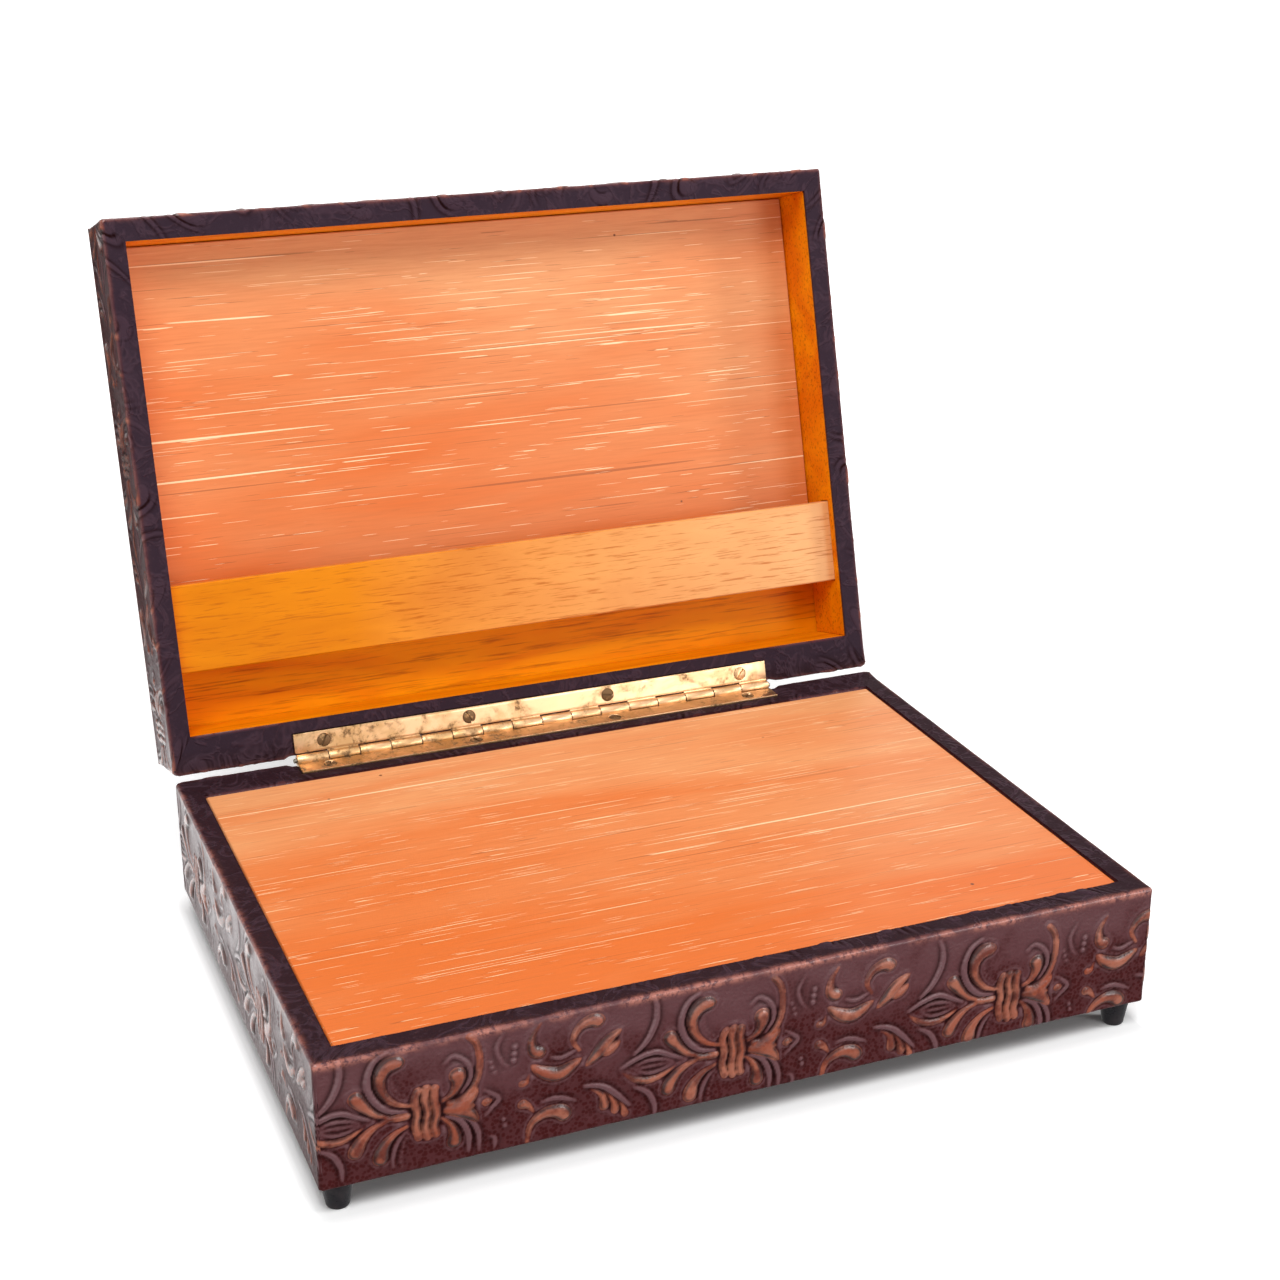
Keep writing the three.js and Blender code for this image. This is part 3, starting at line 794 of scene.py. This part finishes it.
def smoothPath(points, spacing):
    # a smooth curve through the points
    knots = np.array(points, float)
    padded = np.vstack([2 * knots[0] - knots[1], knots, 2 * knots[-1] - knots[-2]])
    path = []
    for a, b, c, d in zip(padded, padded[1:], padded[2:], padded[3:]):
        count = max(3, int(np.linalg.norm(c - b) / spacing))
        t = np.linspace(0, 1, count, endpoint=False)[:, None]
        path.append(b + 0.5 * t * (c - a + t * (2 * a - 5 * b + 4 * c - d + t * (3 * b - a - 3 * c + d))))
    return np.vstack([*path, knots[-1:]])


def runAlong(path):
    return np.concatenate([[0], np.cumsum(np.linalg.norm(np.diff(path, axis=0), axis=1))])


def strokeWidths(shape, radius, path):
    run = runAlong(path)
    share = run / run[-1]
    middle = np.sin(math.pi * share)
    grown = np.clip(share / die["petalFull"], 0, 1) ** die["petalGrowth"]
    swell = {
        "strand": np.ones_like(share),
        "line": die["lineTip"] + (1 - die["lineTip"]) * middle,
        "leaf": middle ** die["leafFullness"],
        "petal": die["petalTip"] + (1 - die["petalTip"]) * grown,
    }[shape]
    # round ends, but a petal grows out of a point
    toEnd = run[-1] - run
    nearEnd = toEnd if shape == "petal" else np.minimum(run, toEnd)
    nearEnd = np.clip(nearEnd / radius, 0, 1)
    return radius * swell * np.sqrt(np.clip(1 - (1 - nearEnd) ** 2, die["bluntness"], 1))


def beadRuns(radius, path):
    every = max(1, round(die["beadPitch"] * radius / die["spacing"]))
    tip = np.array([radius, 0])
    runs = [(bead - tip, bead, bead + tip) for bead in path[::every]]
    return [smoothPath(run, die["beadSpacing"] * radius) for run in runs]


def carveDie(name, shapes):
    curve = bpy.data.curves.new(name, "CURVE")
    curve.dimensions = "3D"
    curve.bevel_depth = 1.0
    curve.bevel_resolution = die["roundness"]
    for shape, radius, points in [stroke for stroke in dieStrokes if stroke[0] in shapes]:
        runs = [smoothPath(points, die["spacing"])]
        if shape == "beads":
            shape = "strand"
            runs = beadRuns(radius, runs[0])
        for run in runs:
            spline = curve.splines.new("POLY")
            spline.points.add(len(run) - 1)
            for point, (x, y), width in zip(spline.points, run, strokeWidths(shape, radius, run)):
                point.co = (x, y, 0, 1)
                point.radius = width
    block = bpy.data.objects.new(name, curve)
    bpy.context.scene.collection.objects.link(block)
    takeUp(block)
    bpy.ops.object.convert(target="MESH")
    block = bpy.context.object
    points = pointsOf(block)
    points[:, 2] = die["relief"] * np.tanh(die["sharpness"] * points[:, 2] / die["relief"])
    block.data.vertices.foreach_set("co", points.ravel())
    return block


def pressedHeights(block, u, v, layout):
    # a flat sheet of points laid over the block; each comes down on the carving or on the ground
    start = die["above"] * die["relief"]
    flat = np.stack([*np.meshgrid(u, v), np.full((len(v), len(u)), start)], axis=-1)
    sheet = layGrid("sheet", flat)
    carving = block.copy()
    carving.data = block.data.copy()
    bpy.context.scene.collection.objects.link(carving)
    for step, count in layout["repeats"]:
        array = carving.modifiers.new("repeat", "ARRAY")
        array.use_relative_offset = False
        array.use_constant_offset = True
        array.constant_offset_displace = (*step, 0)
        array.count = count
    applyAll(carving)
    carving.location = (*layout["first"], 0)
    carving.rotation_euler.z = layout["tilt"]
    settle(carving)
    press = sheet.modifiers.new("press", "SHRINKWRAP")
    press.target = carving
    press.wrap_method = "PROJECT"
    press.use_project_z = True
    press.use_positive_direction = False
    press.use_negative_direction = True
    applyAll(sheet)
    heights = pointsOf(sheet)[:, 2].reshape(len(v), len(u))
    discard(sheet)
    discard(carving)
    return np.where(heights > start / 2, 0.0, np.clip(heights, 0, None))


def softened(field, times):
    for _ in range(times):
        padded = np.pad(field, 1, mode="edge")
        across = (padded[:, :-2] + 2 * padded[:, 1:-1] + padded[:, 2:]) / 4
        field = (across[:-2] + 2 * across[1:-1] + across[2:]) / 4
    return field


# leather: one sheet per wall, pressed flat and then folded over the board

hide = {
    "step": 0.4,            # of the mesh, in millimetres like the rest here
    "underStep": 1.5,
    "thick": 1.15,
    "topFold": 1.0,
    "topSteps": 6,
    "farFold": 0.9,
    "farSteps": 5,
    "foldMiddle": 0.3,      # where a fold has turned half-way, in its radius
    "sink": 0.3,            # ground of the pressing below the plain surface
    "moat": 0.4,            # how far the ground beside a form is pressed deeper
    "moatReach": 8,         # in steps of the mesh
    "soft": 1,              # times that the relief is smoothed
    "swell": 0.1,           # slow unevenness of a hand-pressed hide, and how it runs along and up
    "swellRates": ((0.31, 0.23), (0.17, 0.37)),
    "swellBend": 0.8,
    "full": (0.6, 0.35),    # height at which a form and a ridge count as whole
    "contour": 0.38,        # ridge that runs round each form, at the given depth of its surroundings
    "contourAt": 0.16,
    "contourWide": 0.06,
    "contourClear": 0.1,
    "hollow": (2.6, 0.6),   # how strongly the painted shade in a hollow shows, and how far a contour fills it
    "rimPress": 0.45,       # share of the relief that is left on a rim, along a fold and at a corner
    "foldPress": (0.35, 2.2),
    "cornerPress": (0.3, 2.5),
    "rimShow": 0.5,         # share of the forms' colour that is left on a rim
    "cornerRound": 0.9,
    "wearAt": (0.2, 0.8),   # worn line on the top fold, inwards and down, and its width, in radii
    "wearWide": 1.15,
    "wearRates": (0.05, 0.13, 0.29, 0.6),   # how it comes and goes along the rim
    "wearStart": 40.0,
    "wearShare": (0.7, 1.1),
    "seam": 0.05,
    "weld": 0.002 * mm,
    "smooth": 50,
}


def foldArc(centre, radius, fromTurn, toTurn, steps):
    turns = np.linspace(fromTurn, toTurn, steps)
    return [(centre[0] + radius * math.cos(t), centre[1] + radius * math.sin(t)) for t in turns]


def straight(start, end, step):
    count = max(2, math.ceil(math.dist(start, end) / step) + 1)
    return [tuple(point) for point in np.linspace(start, end, count)]


def sheetPath(rim, height, turnIn):
    # (inward, up) from the turned-in edge, round the foot of the wall, up it and over the rim
    fold = hide["topFold"]
    foot = hide["farFold"]
    path = [(0, 0)]
    if turnIn:
        path = straight((turnIn, 0), (foot, 0), hide["underStep"])
        path += foldArc((foot, foot), foot, 1.5 * math.pi, math.pi, hide["farSteps"])[1:]
    wallStart = foot if turnIn else 0
    path += straight((0, wallStart), (0, height - fold), hide["step"])[1:]
    path += foldArc((fold, height - fold), fold, math.pi, 0.5 * math.pi, hide["topSteps"])[1:]
    path += straight((fold, height), (rim, height), hide["step"])[1:]
    return np.array(path)


def backPath(rim, height, turnIn):
    thick = hide["thick"]
    path = [(rim, height - thick), (thick, height - thick)]
    path += [(thick, thick), (turnIn, thick)] if turnIn else [(thick, 0)]
    return np.array(path)


def pathNormals(path):
    along = np.gradient(path, axis=0)
    normals = np.stack([-along[:, 1], along[:, 0]], axis=1)
    return normals / np.linalg.norm(normals, axis=1, keepdims=True)


def swelling(along, run):
    x, y = np.meshgrid(along, run)
    (alongBent, upBent), (alongPlain, upPlain) = hide["swellRates"]
    bent = np.sin(alongBent * x + hide["swellBend"] * np.sin(upBent * y))
    plain = np.sin(upPlain * y + alongPlain * x)
    return hide["swell"] * (bent + plain) / 2


def pressing(blocks, along, run, layout, reach):
    # lift of the surface over a sheet laid out flat, and where its forms, ridges, hollows and flanks are, the
    # last two for painted shade
    heights = [softened(pressedHeights(block, along, run, layout), hide["soft"]) for block in blocks]
    forms, ridges = (np.clip(height / full, 0, 1) for height, full in zip(heights, hide["full"]))
    solid = np.maximum(forms, ridges)
    near = softened(solid, reach)
    fromContour = (softened(forms, reach) - hide["contourAt"]) / hide["contourWide"]
    contour = softened(np.exp(-fromContour ** 2) * (solid < hide["contourClear"]), hide["soft"])
    lift = np.maximum(*heights) - hide["moat"] * near + hide["contour"] * contour
    depth, filled = hide["hollow"]
    masks = {
        "emboss": forms,
        "ridge": np.maximum(ridges, contour),
        "hollow": depth * np.clip(near - solid - filled * contour, 0, 1),
        "steep": np.hypot(*np.gradient(lift, run, along)),
    }
    return lift - hide["sink"] + swelling(along, run), masks


def setMasks(piece, masks):
    for title, field in masks.items():
        layer = piece.data.attributes.new(title, "FLOAT", "POINT")
        layer.data.foreach_set("value", np.clip(field, 0, 1).ravel())


def pressedLess(away, weak):
    # share of the relief that is left beside an edge
    share, reach = weak
    return 1 - (1 - share) * np.exp(-(away / reach) ** 2)


def foldWear(path, height, along, amount):
    # rubbed line along the outer edge of the rim, broken up along its length
    fold = hide["topFold"]
    inward, down = hide["wearAt"]
    off = (path[:, 0] - inward * fold) ** 2 + (path[:, 1] - height + down * fold) ** 2
    near = np.exp(-(off / (hide["wearWide"] * fold) ** 2))
    rates = hide["wearRates"]
    ragged = sum(np.sin(along * rate + hide["wearStart"] * rate) for rate in rates) / len(rates)
    least, change = hide["wearShare"]
    return amount * near[:, None] * np.clip(least + change * ragged, 0, 1)


def pressedWall(wall, outer, along, blocks):
    # lift and masks of a wall's sheet, weaker on the rim, at the folds and at the corners
    height = wall["height"]
    run = runAlong(outer)
    middle = hide["foldMiddle"] * hide["topFold"]
    onRim = np.clip((outer[:, 0] - middle) / hide["topFold"], 0, 1) * (outer[:, 1] > height / 2)
    underneath = (outer[:, 0] > hide["farFold"]) & (outer[:, 1] < height / 2)
    atFoot = run[np.argmin(outer[:, 0])]
    atFold = run[np.argmin(np.hypot(outer[:, 0] - middle, outer[:, 1] - height + middle))]
    lift, masks = pressing(blocks, along, run - atFoot, wall["layout"], hide["moatReach"])
    kept = (1 - (1 - hide["rimPress"]) * onRim) * pressedLess(run - atFold, hide["foldPress"])
    kept *= pressedLess(run - atFoot, hide["foldPress"])
    kept[underneath] = 0.0
    lift = lift * kept[:, None] * pressedLess(along[-1] - np.abs(along), hide["cornerPress"])
    for title in ("emboss", "ridge"):
        masks[title] = masks[title] * (1 - hide["rimShow"] * onRim)[:, None]
    masks["onRim"] = np.repeat(onRim[:, None], len(along), axis=1)
    masks["low"] = np.repeat(1 - outer[:, 1:] / height, len(along), axis=1)
    masks["worn"] = foldWear(outer, height, along, wall["wear"])
    return lift, masks


welt = {"rise": 0.55, "out": 0.9, "wide": 6.0, "deep": 2.5, "fade": 2.0}


def raiseWelt(wall, along, inward, up, ends, outside):
    # the back edge stands up in a welt on either side of the hinge
    onTop = np.clip((up - wall["height"] + welt["deep"]) / welt["deep"], 0, 1)
    if wall["side"] == "back":
        onTop = onTop * np.clip((np.abs(along) - wall["hingeHalf"]) / welt["fade"], 0, 1)
        fromBack = inward
        inEnd = np.clip((ends - np.abs(along)) / welt["fade"], 0, 1)
        inward = inward - welt["out"] * onTop * inEnd * outside
    else:
        fromBack = wall["length"] / 2 - hide["seam"] + (along if wall["side"] == "left" else -along)
    return inward, up + welt["rise"] * onTop * np.clip(1 - fromBack / welt["wide"], 0, 1)


def foldedWall(name, wall, blocks):
    height = wall["height"]
    outer = sheetPath(wall["rim"], height, wall["turnIn"])
    back = backPath(wall["rim"], height, wall["turnIn"])
    half = wall["length"] / 2 - hide["seam"]
    columns = int(wall["length"] / hide["step"]) + 1
    share = np.linspace(-1, 1, columns)
    lift, masks = pressedWall(wall, outer, share * half, blocks)
    normals = pathNormals(outer)
    pressed = [outer[:, axis:axis + 1] + normals[:, axis:axis + 1] * lift for axis in (0, 1)]
    lining = [np.repeat(back[:, axis:axis + 1], columns, axis=1) for axis in (0, 1)]
    inward, up = (np.vstack(parts) for parts in zip(pressed, lining))
    outside = (np.arange(len(up)) < len(outer))[:, None]

    # each row ends on the mitre, and the sheet is rounded off there
    slopes = np.where(share < 0, wall["startSlope"], wall["endSlope"])
    depths = np.vstack([outer[:, :1], back[:, :1]])
    ends = half - np.clip(depths, 0, None) * slopes
    along = share * ends
    fromEnd = np.clip((ends - np.abs(along)) / hide["cornerRound"], 0, 1)
    rounding = hide["cornerRound"] * (1 - np.sqrt(1 - (1 - fromEnd) ** 2))
    inward = inward + rounding * (outside & (depths < hide["topFold"]))
    if wall["side"] != "front":
        inward, up = raiseWelt(wall, along, inward, up, ends, outside)
    if wall["side"] == "back":
        bed = wall["bed"]
        under = (np.abs(along) < bed["half"]) & (inward < bed["reach"])
        up = np.where(under & (up > bed["level"]), bed["level"], up)

    points = np.stack([along, wall["front"] + inward, wall["level"] + wall["facing"] * up], axis=-1)
    piece = layGrid(name, np.concatenate([points, points[:1]]) * mm)
    unpressed = ((0, len(back) + 1), (0, 0))
    setMasks(piece, {title: np.pad(field, unpressed) for title, field in masks.items()})
    turn = Matrix.Rotation(wall["turn"], 4, "Z")
    piece.data.transform(Matrix.Translation((0, wall["centre"] * mm, 0)) @ turn)
    editAll(piece)
    bpy.ops.mesh.remove_doubles(threshold=hide["weld"])
    bpy.ops.mesh.dissolve_degenerate(threshold=hide["weld"])
    pickOpenEdges()
    bpy.ops.mesh.edge_face_add()
    faceOutwards()
    smoothBy(piece, hide["smooth"])
    return piece


hingeBed = {"play": 0.3, "drop": 0.05, "clear": 1.5, "edge": 0.1}


def leafPlate(group):
    # levels of the flat of the leaf, found at its long edge
    node = frame["nodes"][f"hinge_leaf_{group}"]
    points = [vertex.co if group == "base" else swingShut @ vertex.co for vertex in node.data.vertices]
    edge = min(point.y for point in points)
    heights = [point.z for point in points if point.y < edge + hingeBed["edge"] * mm]
    return min(heights), max(heights)


def leafBed(group, height):
    # room for the leaf in the leather, measured from the back of the box and the foot of the wall
    box = boxOf[group]
    below = group == "base"
    rimLevel = box(f"{group}_leather_front")[1 if below else 0].z
    deepest = leafPlate(group)[0 if below else 1]
    low, high = box(f"hinge_leaf_{group}")
    back = box(f"{group}_leather_back")[1].y
    return {
        "half": high.x / mm + hingeBed["play"],
        "reach": (back - low.y) / mm + hingeBed["play"],
        "level": height - (abs(deepest - rimLevel) / mm + hingeBed["drop"]),
    }


lilies = {                  # place of one lily on each wall, and the tilt of its row
    "base": {"front": (-97.0, 17.0, -0.026), "right": (-70.0, 15.0, 0.0), "back": (-106.0, 15.5, 0.01),
             "left": (-62.0, 16.0, 0.0)},
    "lid": {"front": (-88.0, 14.0, 0.01), "right": (-58.0, 13.0, 0.0), "back": (-100.0, 14.0, 0.0),
            "left": (-76.0, 14.0, 0.0)},
}
rimWear = {
    "base": {"front": 0.9, "right": 0.5, "back": 0.3, "left": 0.7},
    "lid": {"front": 0.25, "right": 0.2, "back": 0.3, "left": 0.2},
}


def coverWalls(group, blocks):
    boxes = {side: boxOf[group](f"{group}_leather_{side}") for side in sides}
    sizes = {side: (high - low) / mm for side, (low, high) in boxes.items()}
    rims = [sizes[side].y if side in ("front", "back") else sizes[side].x for side in sides]
    width = (boxes["right"][1].x - boxes["left"][0].x) / mm
    depth = (boxes["back"][1].y - boxes["front"][0].y) / mm
    centre = (boxes["back"][1].y + boxes["front"][0].y) / 2 / mm
    low, high = (corner.z / mm for corner in boxes["front"])
    upright = group == "base"
    bed = leafBed(group, high - low)
    for place, side in enumerate(sides):
        length, reach = (width, depth) if place % 2 == 0 else (depth, width)
        x, y, tilt = lilies[group][side]
        wall = {
            "side": side,
            "rim": rims[place],
            "height": high - low,
            "length": length,
            "front": -reach / 2,
            "centre": centre,
            "turn": place * math.pi / 2,
            "level": low if upright else high,
            "facing": 1 if upright else -1,
            "turnIn": rims[place] if upright else 0,
            "startSlope": rims[place - 1] / rims[place],
            "endSlope": rims[(place + 1) % 4] / rims[place],
            "wear": rimWear[group][side],
            "bed": bed,
            "hingeHalf": bed["half"] + hingeBed["clear"],
            "layout": {
                "first": (x + die["rowShift"] - die["pitch"], y - die["rowPitch"]),
                "tilt": tilt,
                "repeats": [
                    ((die["pitch"], 0), die["across"]),
                    ((-die["rowShift"], die["rowPitch"]), die["rows"]),
                ],
            },
        }
        piece = foldedWall(f"{group}Leather{side.title()}", wall, blocks)
        if not upright:
            piece.data.transform(swingOpen)
        dress(piece, group, leather, f"{group}_leather_{side}")
    print(group, "walls covered")


lidTop = {
    "step": 0.7,
    "edge": 1.1,            # rounding of the sheet's edge
    "edgeHeight": 0.25,     # share of the thickness that is left there
    "seam": 0.05,
    "moatReach": 3,
    "low": 0.5,             # how far down a wall its ground would lie
    "wear": 0.55,
    "wearWide": 1.4,
    "wearShare": 0.6,
    "wearWaves": [(0.4, 0.11, 0.07, 2.0), (0.3, 0.31, -0.2, 0.0)],  # size, rates along and across, start
    "layout": {
        "first": (-118.0, -146.0),
        "tilt": 0.0,
        "repeats": [
            ((die["pitch"], 0.0), 4),
            ((-die["rowShift"], die["rowPitch"]), 2),
            ((0.0, 2 * die["rowPitch"]), 3),
        ],
    },
}


def coverLidTop(blocks):
    look = lidTop
    low, high = (corner / mm for corner in shutBox("lid_leather_top"))

    def stepped(start, end):
        count = len(np.arange(start + look["seam"], end, look["step"]))
        return np.linspace(start + look["seam"], end - look["seam"], count)

    u = stepped(low.x, high.x)
    v = stepped(low.y, high.y)
    lift, masks = pressing(blocks, u, v, look["layout"], look["moatReach"])
    x, y = np.meshgrid(u, v)
    fromEdge = np.minimum(np.minimum(x - u[0], u[-1] - x), np.minimum(y - v[0], v[-1] - y))
    inside = np.clip(fromEdge / look["edge"], 0, 1)
    lift = lift * pressedLess(fromEdge, hide["cornerPress"])
    rounded = look["edgeHeight"] + (1 - look["edgeHeight"]) * np.sqrt(1 - (1 - inside) ** 2)
    z = low.z + (high.z + lift - low.z) * rounded
    piece = layGrid("lidLeatherTop", np.stack([x, y, z], axis=-1) * mm)
    ragged = look["wearShare"]
    for size, rateX, rateY, start in look["wearWaves"]:
        ragged = ragged + size * np.sin(rateX * x + rateY * y + start)
    masks["onRim"] = np.zeros_like(x)
    masks["low"] = np.full_like(x, look["low"])
    masks["worn"] = look["wear"] * ragged * np.exp(-(fromEdge / look["wearWide"]) ** 2)
    setMasks(piece, masks)
    editAll(piece)
    pickOpenEdges()
    bpy.ops.mesh.extrude_region_move()
    bpy.ops.transform.resize(value=(1, 1, 0), center_override=(0, 0, low.z * mm))
    bpy.ops.mesh.edge_face_add()
    faceOutwards()
    smoothBy(piece, hide["smooth"])
    piece.data.transform(swingOpen)
    dress(piece, "lid", leather, "lid_leather_top")


lilyBlocks = carveDie("formsDie", ("strand", "petal", "leaf")), carveDie("linesDie", ("line", "beads"))
coverWalls("base", lilyBlocks)
coverWalls("lid", lilyBlocks)
coverLidTop(lilyBlocks)
for block in lilyBlocks:
    bpy.data.objects.remove(block)
print("leather pressed")


# hinge, screws and feet

hingeShape = {
    "knuckles": 16,         # the first on the left belongs to the base
    "barrel": 1.9 * mm,
    "bore": 1.0 * mm,
    "stop": 2.3 * mm,       # from the pin to the edge of a leaf between its knuckles
    "tailEnd": 1.25 * mm,
    "between": 0.3 * mm,
    "bevel": 0.14 * mm,
    "bevelSteps": 2,
    "bevelAngle": 40,
    "steps": 40,
    "weld": 0.001 * mm,
    "pin": 0.8 * mm,
    "pinTip": 0.5 * mm,
    "pinSegments": 24,
    "smooth": 35,
}
screwShape = {              # rings of radius and level, in millimetres
    "perLeaf": 4,
    "endInset": 10.0 * mm,
    "line": 5.45 * mm,      # from the pin
    "rings": [(0.2, -7.0), (1.1, -5.5), (1.1, -1.0), (2.1, -0.08), (1.98, 0.0)],
    "hole": [(1.3, -1.4), (1.3, -1.0), (2.32, 0.0), (2.32, 0.3)],
    "segments": 32,
    "holeSegments": 40,
    "slot": (5.0 * mm, 0.6 * mm, 0.9 * mm),
    "firstTurn": 60.0,
    "nextTurn": 55.0,
    "clean": ("lid", 3),
}
footShape = {
    "rings": [(2.5, 0.0), (3.0, 0.1), (3.25, 0.5), (3.35, 1.2), (4.45, 8.2), (4.5, 8.45), (1.6, 8.5),
              (1.6, 13.4)],
    "segments": 40,
}


def turnedPiece(name, rings, segments, unit=mm):
    # a disc drawn up ring by ring, as on a lathe
    deselectAll()
    firstRadius, firstLevel = rings[0]
    bpy.ops.mesh.primitive_circle_add(
        vertices=segments, radius=firstRadius * unit, fill_type="NGON", location=(0, 0, firstLevel * unit))
    piece = bpy.context.object
    piece.name = name
    settle(piece)
    editAll(piece)
    for (radius, level), (nextRadius, nextLevel) in zip(rings, rings[1:]):
        rise = (nextLevel - level) * unit
        ratio = nextRadius / radius
        bpy.ops.mesh.extrude_region_move(TRANSFORM_OT_translate={"value": (0, 0, rise)})
        bpy.ops.transform.resize(value=(ratio, ratio, 1), center_override=(0, 0, nextLevel * unit))
    faceOutwards()
    return piece


def blockPiece(low, high):
    deselectAll()
    middle = [(a + b) / 2 for a, b in zip(low, high)]
    bpy.ops.mesh.primitive_cube_add(size=1, location=middle)
    piece = bpy.context.object
    piece.scale = [b - a for a, b in zip(low, high)]
    settle(piece)
    return piece


def bevelled(piece):
    bevel = piece.modifiers.new("eased", "BEVEL")
    bevel.width = hingeShape["bevel"]
    bevel.segments = hingeShape["bevelSteps"]
    bevel.limit_method = "ANGLE"
    bevel.angle_limit = math.radians(hingeShape["bevelAngle"])
    applyAll(piece)
    return piece


def cutAway(piece, tool):
    cut = piece.modifiers.new("cut", "BOOLEAN")
    cut.operation = "DIFFERENCE"
    cut.object = tool
    applyAll(piece)
    discard(tool)


def rolledEye(fromX, toX):
    # the section of the barrel's wall, turned once round the pin
    shape = hingeShape
    deselectAll()
    middle = (shape["barrel"] + shape["bore"]) / 2
    place = ((fromX + toX) / 2, pinPlace.y, pinPlace.z + middle)
    bpy.ops.mesh.primitive_plane_add(size=1, location=place, rotation=(math.pi / 2, 0, 0))
    eye = bpy.context.object
    eye.scale = (toX - fromX, shape["barrel"] - shape["bore"], 1)
    settle(eye)
    editAll(eye)
    bpy.ops.mesh.delete(type="ONLY_FACE")
    bpy.ops.mesh.select_all(action="SELECT")
    bpy.ops.mesh.spin(steps=shape["steps"], angle=2 * math.pi, center=pinPlace, axis=(1, 0, 0))
    bpy.ops.mesh.select_all(action="SELECT")
    bpy.ops.mesh.remove_doubles(threshold=shape["weld"])
    faceOutwards()
    return bevelled(eye)


def screwPlaces(half):
    step = 2 * (half - screwShape["endInset"]) / (screwShape["perLeaf"] - 1)
    return [screwShape["endInset"] - half + order * step for order in range(screwShape["perLeaf"])]


def headPlace(group, x, face):
    # a form that points down, set in the leaf of the base or, upside down, of the lid
    over = Matrix.Rotation(math.pi if group == "lid" else 0, 4, "X")
    return Matrix.Translation((x, pinPlace.y - screwShape["line"], face)) @ over


def makeScrew(group, order, place):
    screw = turnedPiece(f"{group}Screw{order + 1}", screwShape["rings"], screwShape["segments"])
    corner = Vector(screwShape["slot"]) / 2
    slot = blockPiece(-corner, corner)
    turn = screwShape["firstTurn"] + order * screwShape["nextTurn"]
    slot.data.transform(Matrix.Rotation(math.radians(turn), 4, "Z"))
    cutAway(screw, slot)
    smoothBy(screw, hingeShape["smooth"])
    screw.data.transform(swingOpen @ place if group == "lid" else place)
    finish = cleanScrew if (group, order) == screwShape["clean"] else screwBrass
    dress(screw, group, finish, f"{group}_hinge_screw_{order + 1}")


def makeLeaf(group, firstKnuckle):
    shape = hingeShape
    low, high = boxOf[group](f"hinge_leaf_{group}")
    plateLow, plateHigh = leafPlate(group)
    face = plateHigh if group == "base" else plateLow
    half = high.x
    edge = pinPlace.y - shape["stop"]
    plate = bevelled(blockPiece((-half, low.y, plateLow), (half, edge, plateHigh)))
    places = [headPlace(group, x, face) for x in screwPlaces(half)]
    holes = []
    for place in places:
        hole = turnedPiece("hole", screwShape["hole"], screwShape["holeSegments"])
        hole.data.transform(place)
        holes.append(hole)
    cutAway(plate, joinPieces(holes, "holes"))
    parts = [plate]
    pitch = 2 * half / shape["knuckles"]
    for order in range(firstKnuckle, shape["knuckles"], 2):
        fromX = -half + order * pitch + shape["between"] / 2
        toX = fromX + pitch - shape["between"]
        tail = blockPiece((fromX, edge, plateLow), (toX, pinPlace.y - shape["tailEnd"], plateHigh))
        parts += [rolledEye(fromX, toX), tail]
    leaf = joinPieces(parts, f"hingeLeaf{group.title()}")
    smoothBy(leaf, shape["smooth"])
    for order, place in enumerate(places):
        makeScrew(group, order, place)
    if group == "lid":
        leaf.data.transform(swingOpen)
    dress(leaf, group, brass, f"hinge_leaf_{group}")


def makePin():
    shape = hingeShape
    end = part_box("hinge_pin")[1].x
    body = end - (shape["pin"] - shape["pinTip"])
    rings = [(shape["pinTip"], -end), (shape["pin"], -body), (shape["pin"], body), (shape["pinTip"], end)]
    pin = turnedPiece("hingePin", rings, shape["pinSegments"], 1.0)
    lying = Matrix.Rotation(math.pi / 2, 4, "Y")
    pin.data.transform(Matrix.Translation((0, pinPlace.y, pinPlace.z)) @ lying)
    smoothBy(pin, shape["smooth"])
    dress(pin, "base", steel, "hinge_pin")


def makeFeet():
    for name in [node for node in frame["nodes"] if node.startswith("foot_")]:
        low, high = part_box(name)
        foot = turnedPiece(name.title().replace("_", ""), footShape["rings"], footShape["segments"])
        foot.data.transform(Matrix.Translation(((low.x + high.x) / 2, (low.y + high.y) / 2, low.z)))
        smoothBy(foot, hingeShape["smooth"])
        dress(foot, "base", lacquer, name)


makeLeaf("base", 0)
makeLeaf("lid", 1)
makePin()
makeFeet()
print("hinge and feet made")

# every solid gets the finish that its name calls for; the boards and liners are varnished
finishFor = {
    "leather": leather,
    "base_floor": floorBoard,
    "cover_panel": coverVeneer,
    "lid_panel": lidVeneer,
    "lid_bar": barWood,
    "moistener": clay,
    "hinge_leaf": brass,
    "hinge_screw": brass,
    "hinge_pin": steel,
    "foot": lacquer,
}
for name, node in frame["nodes"].items():
    node.data.materials.clear()
    node.data.materials.append(next((finishFor[word] for word in finishFor if word in name), varnish))

bpy.context.scene.view_settings.view_transform = "Standard"
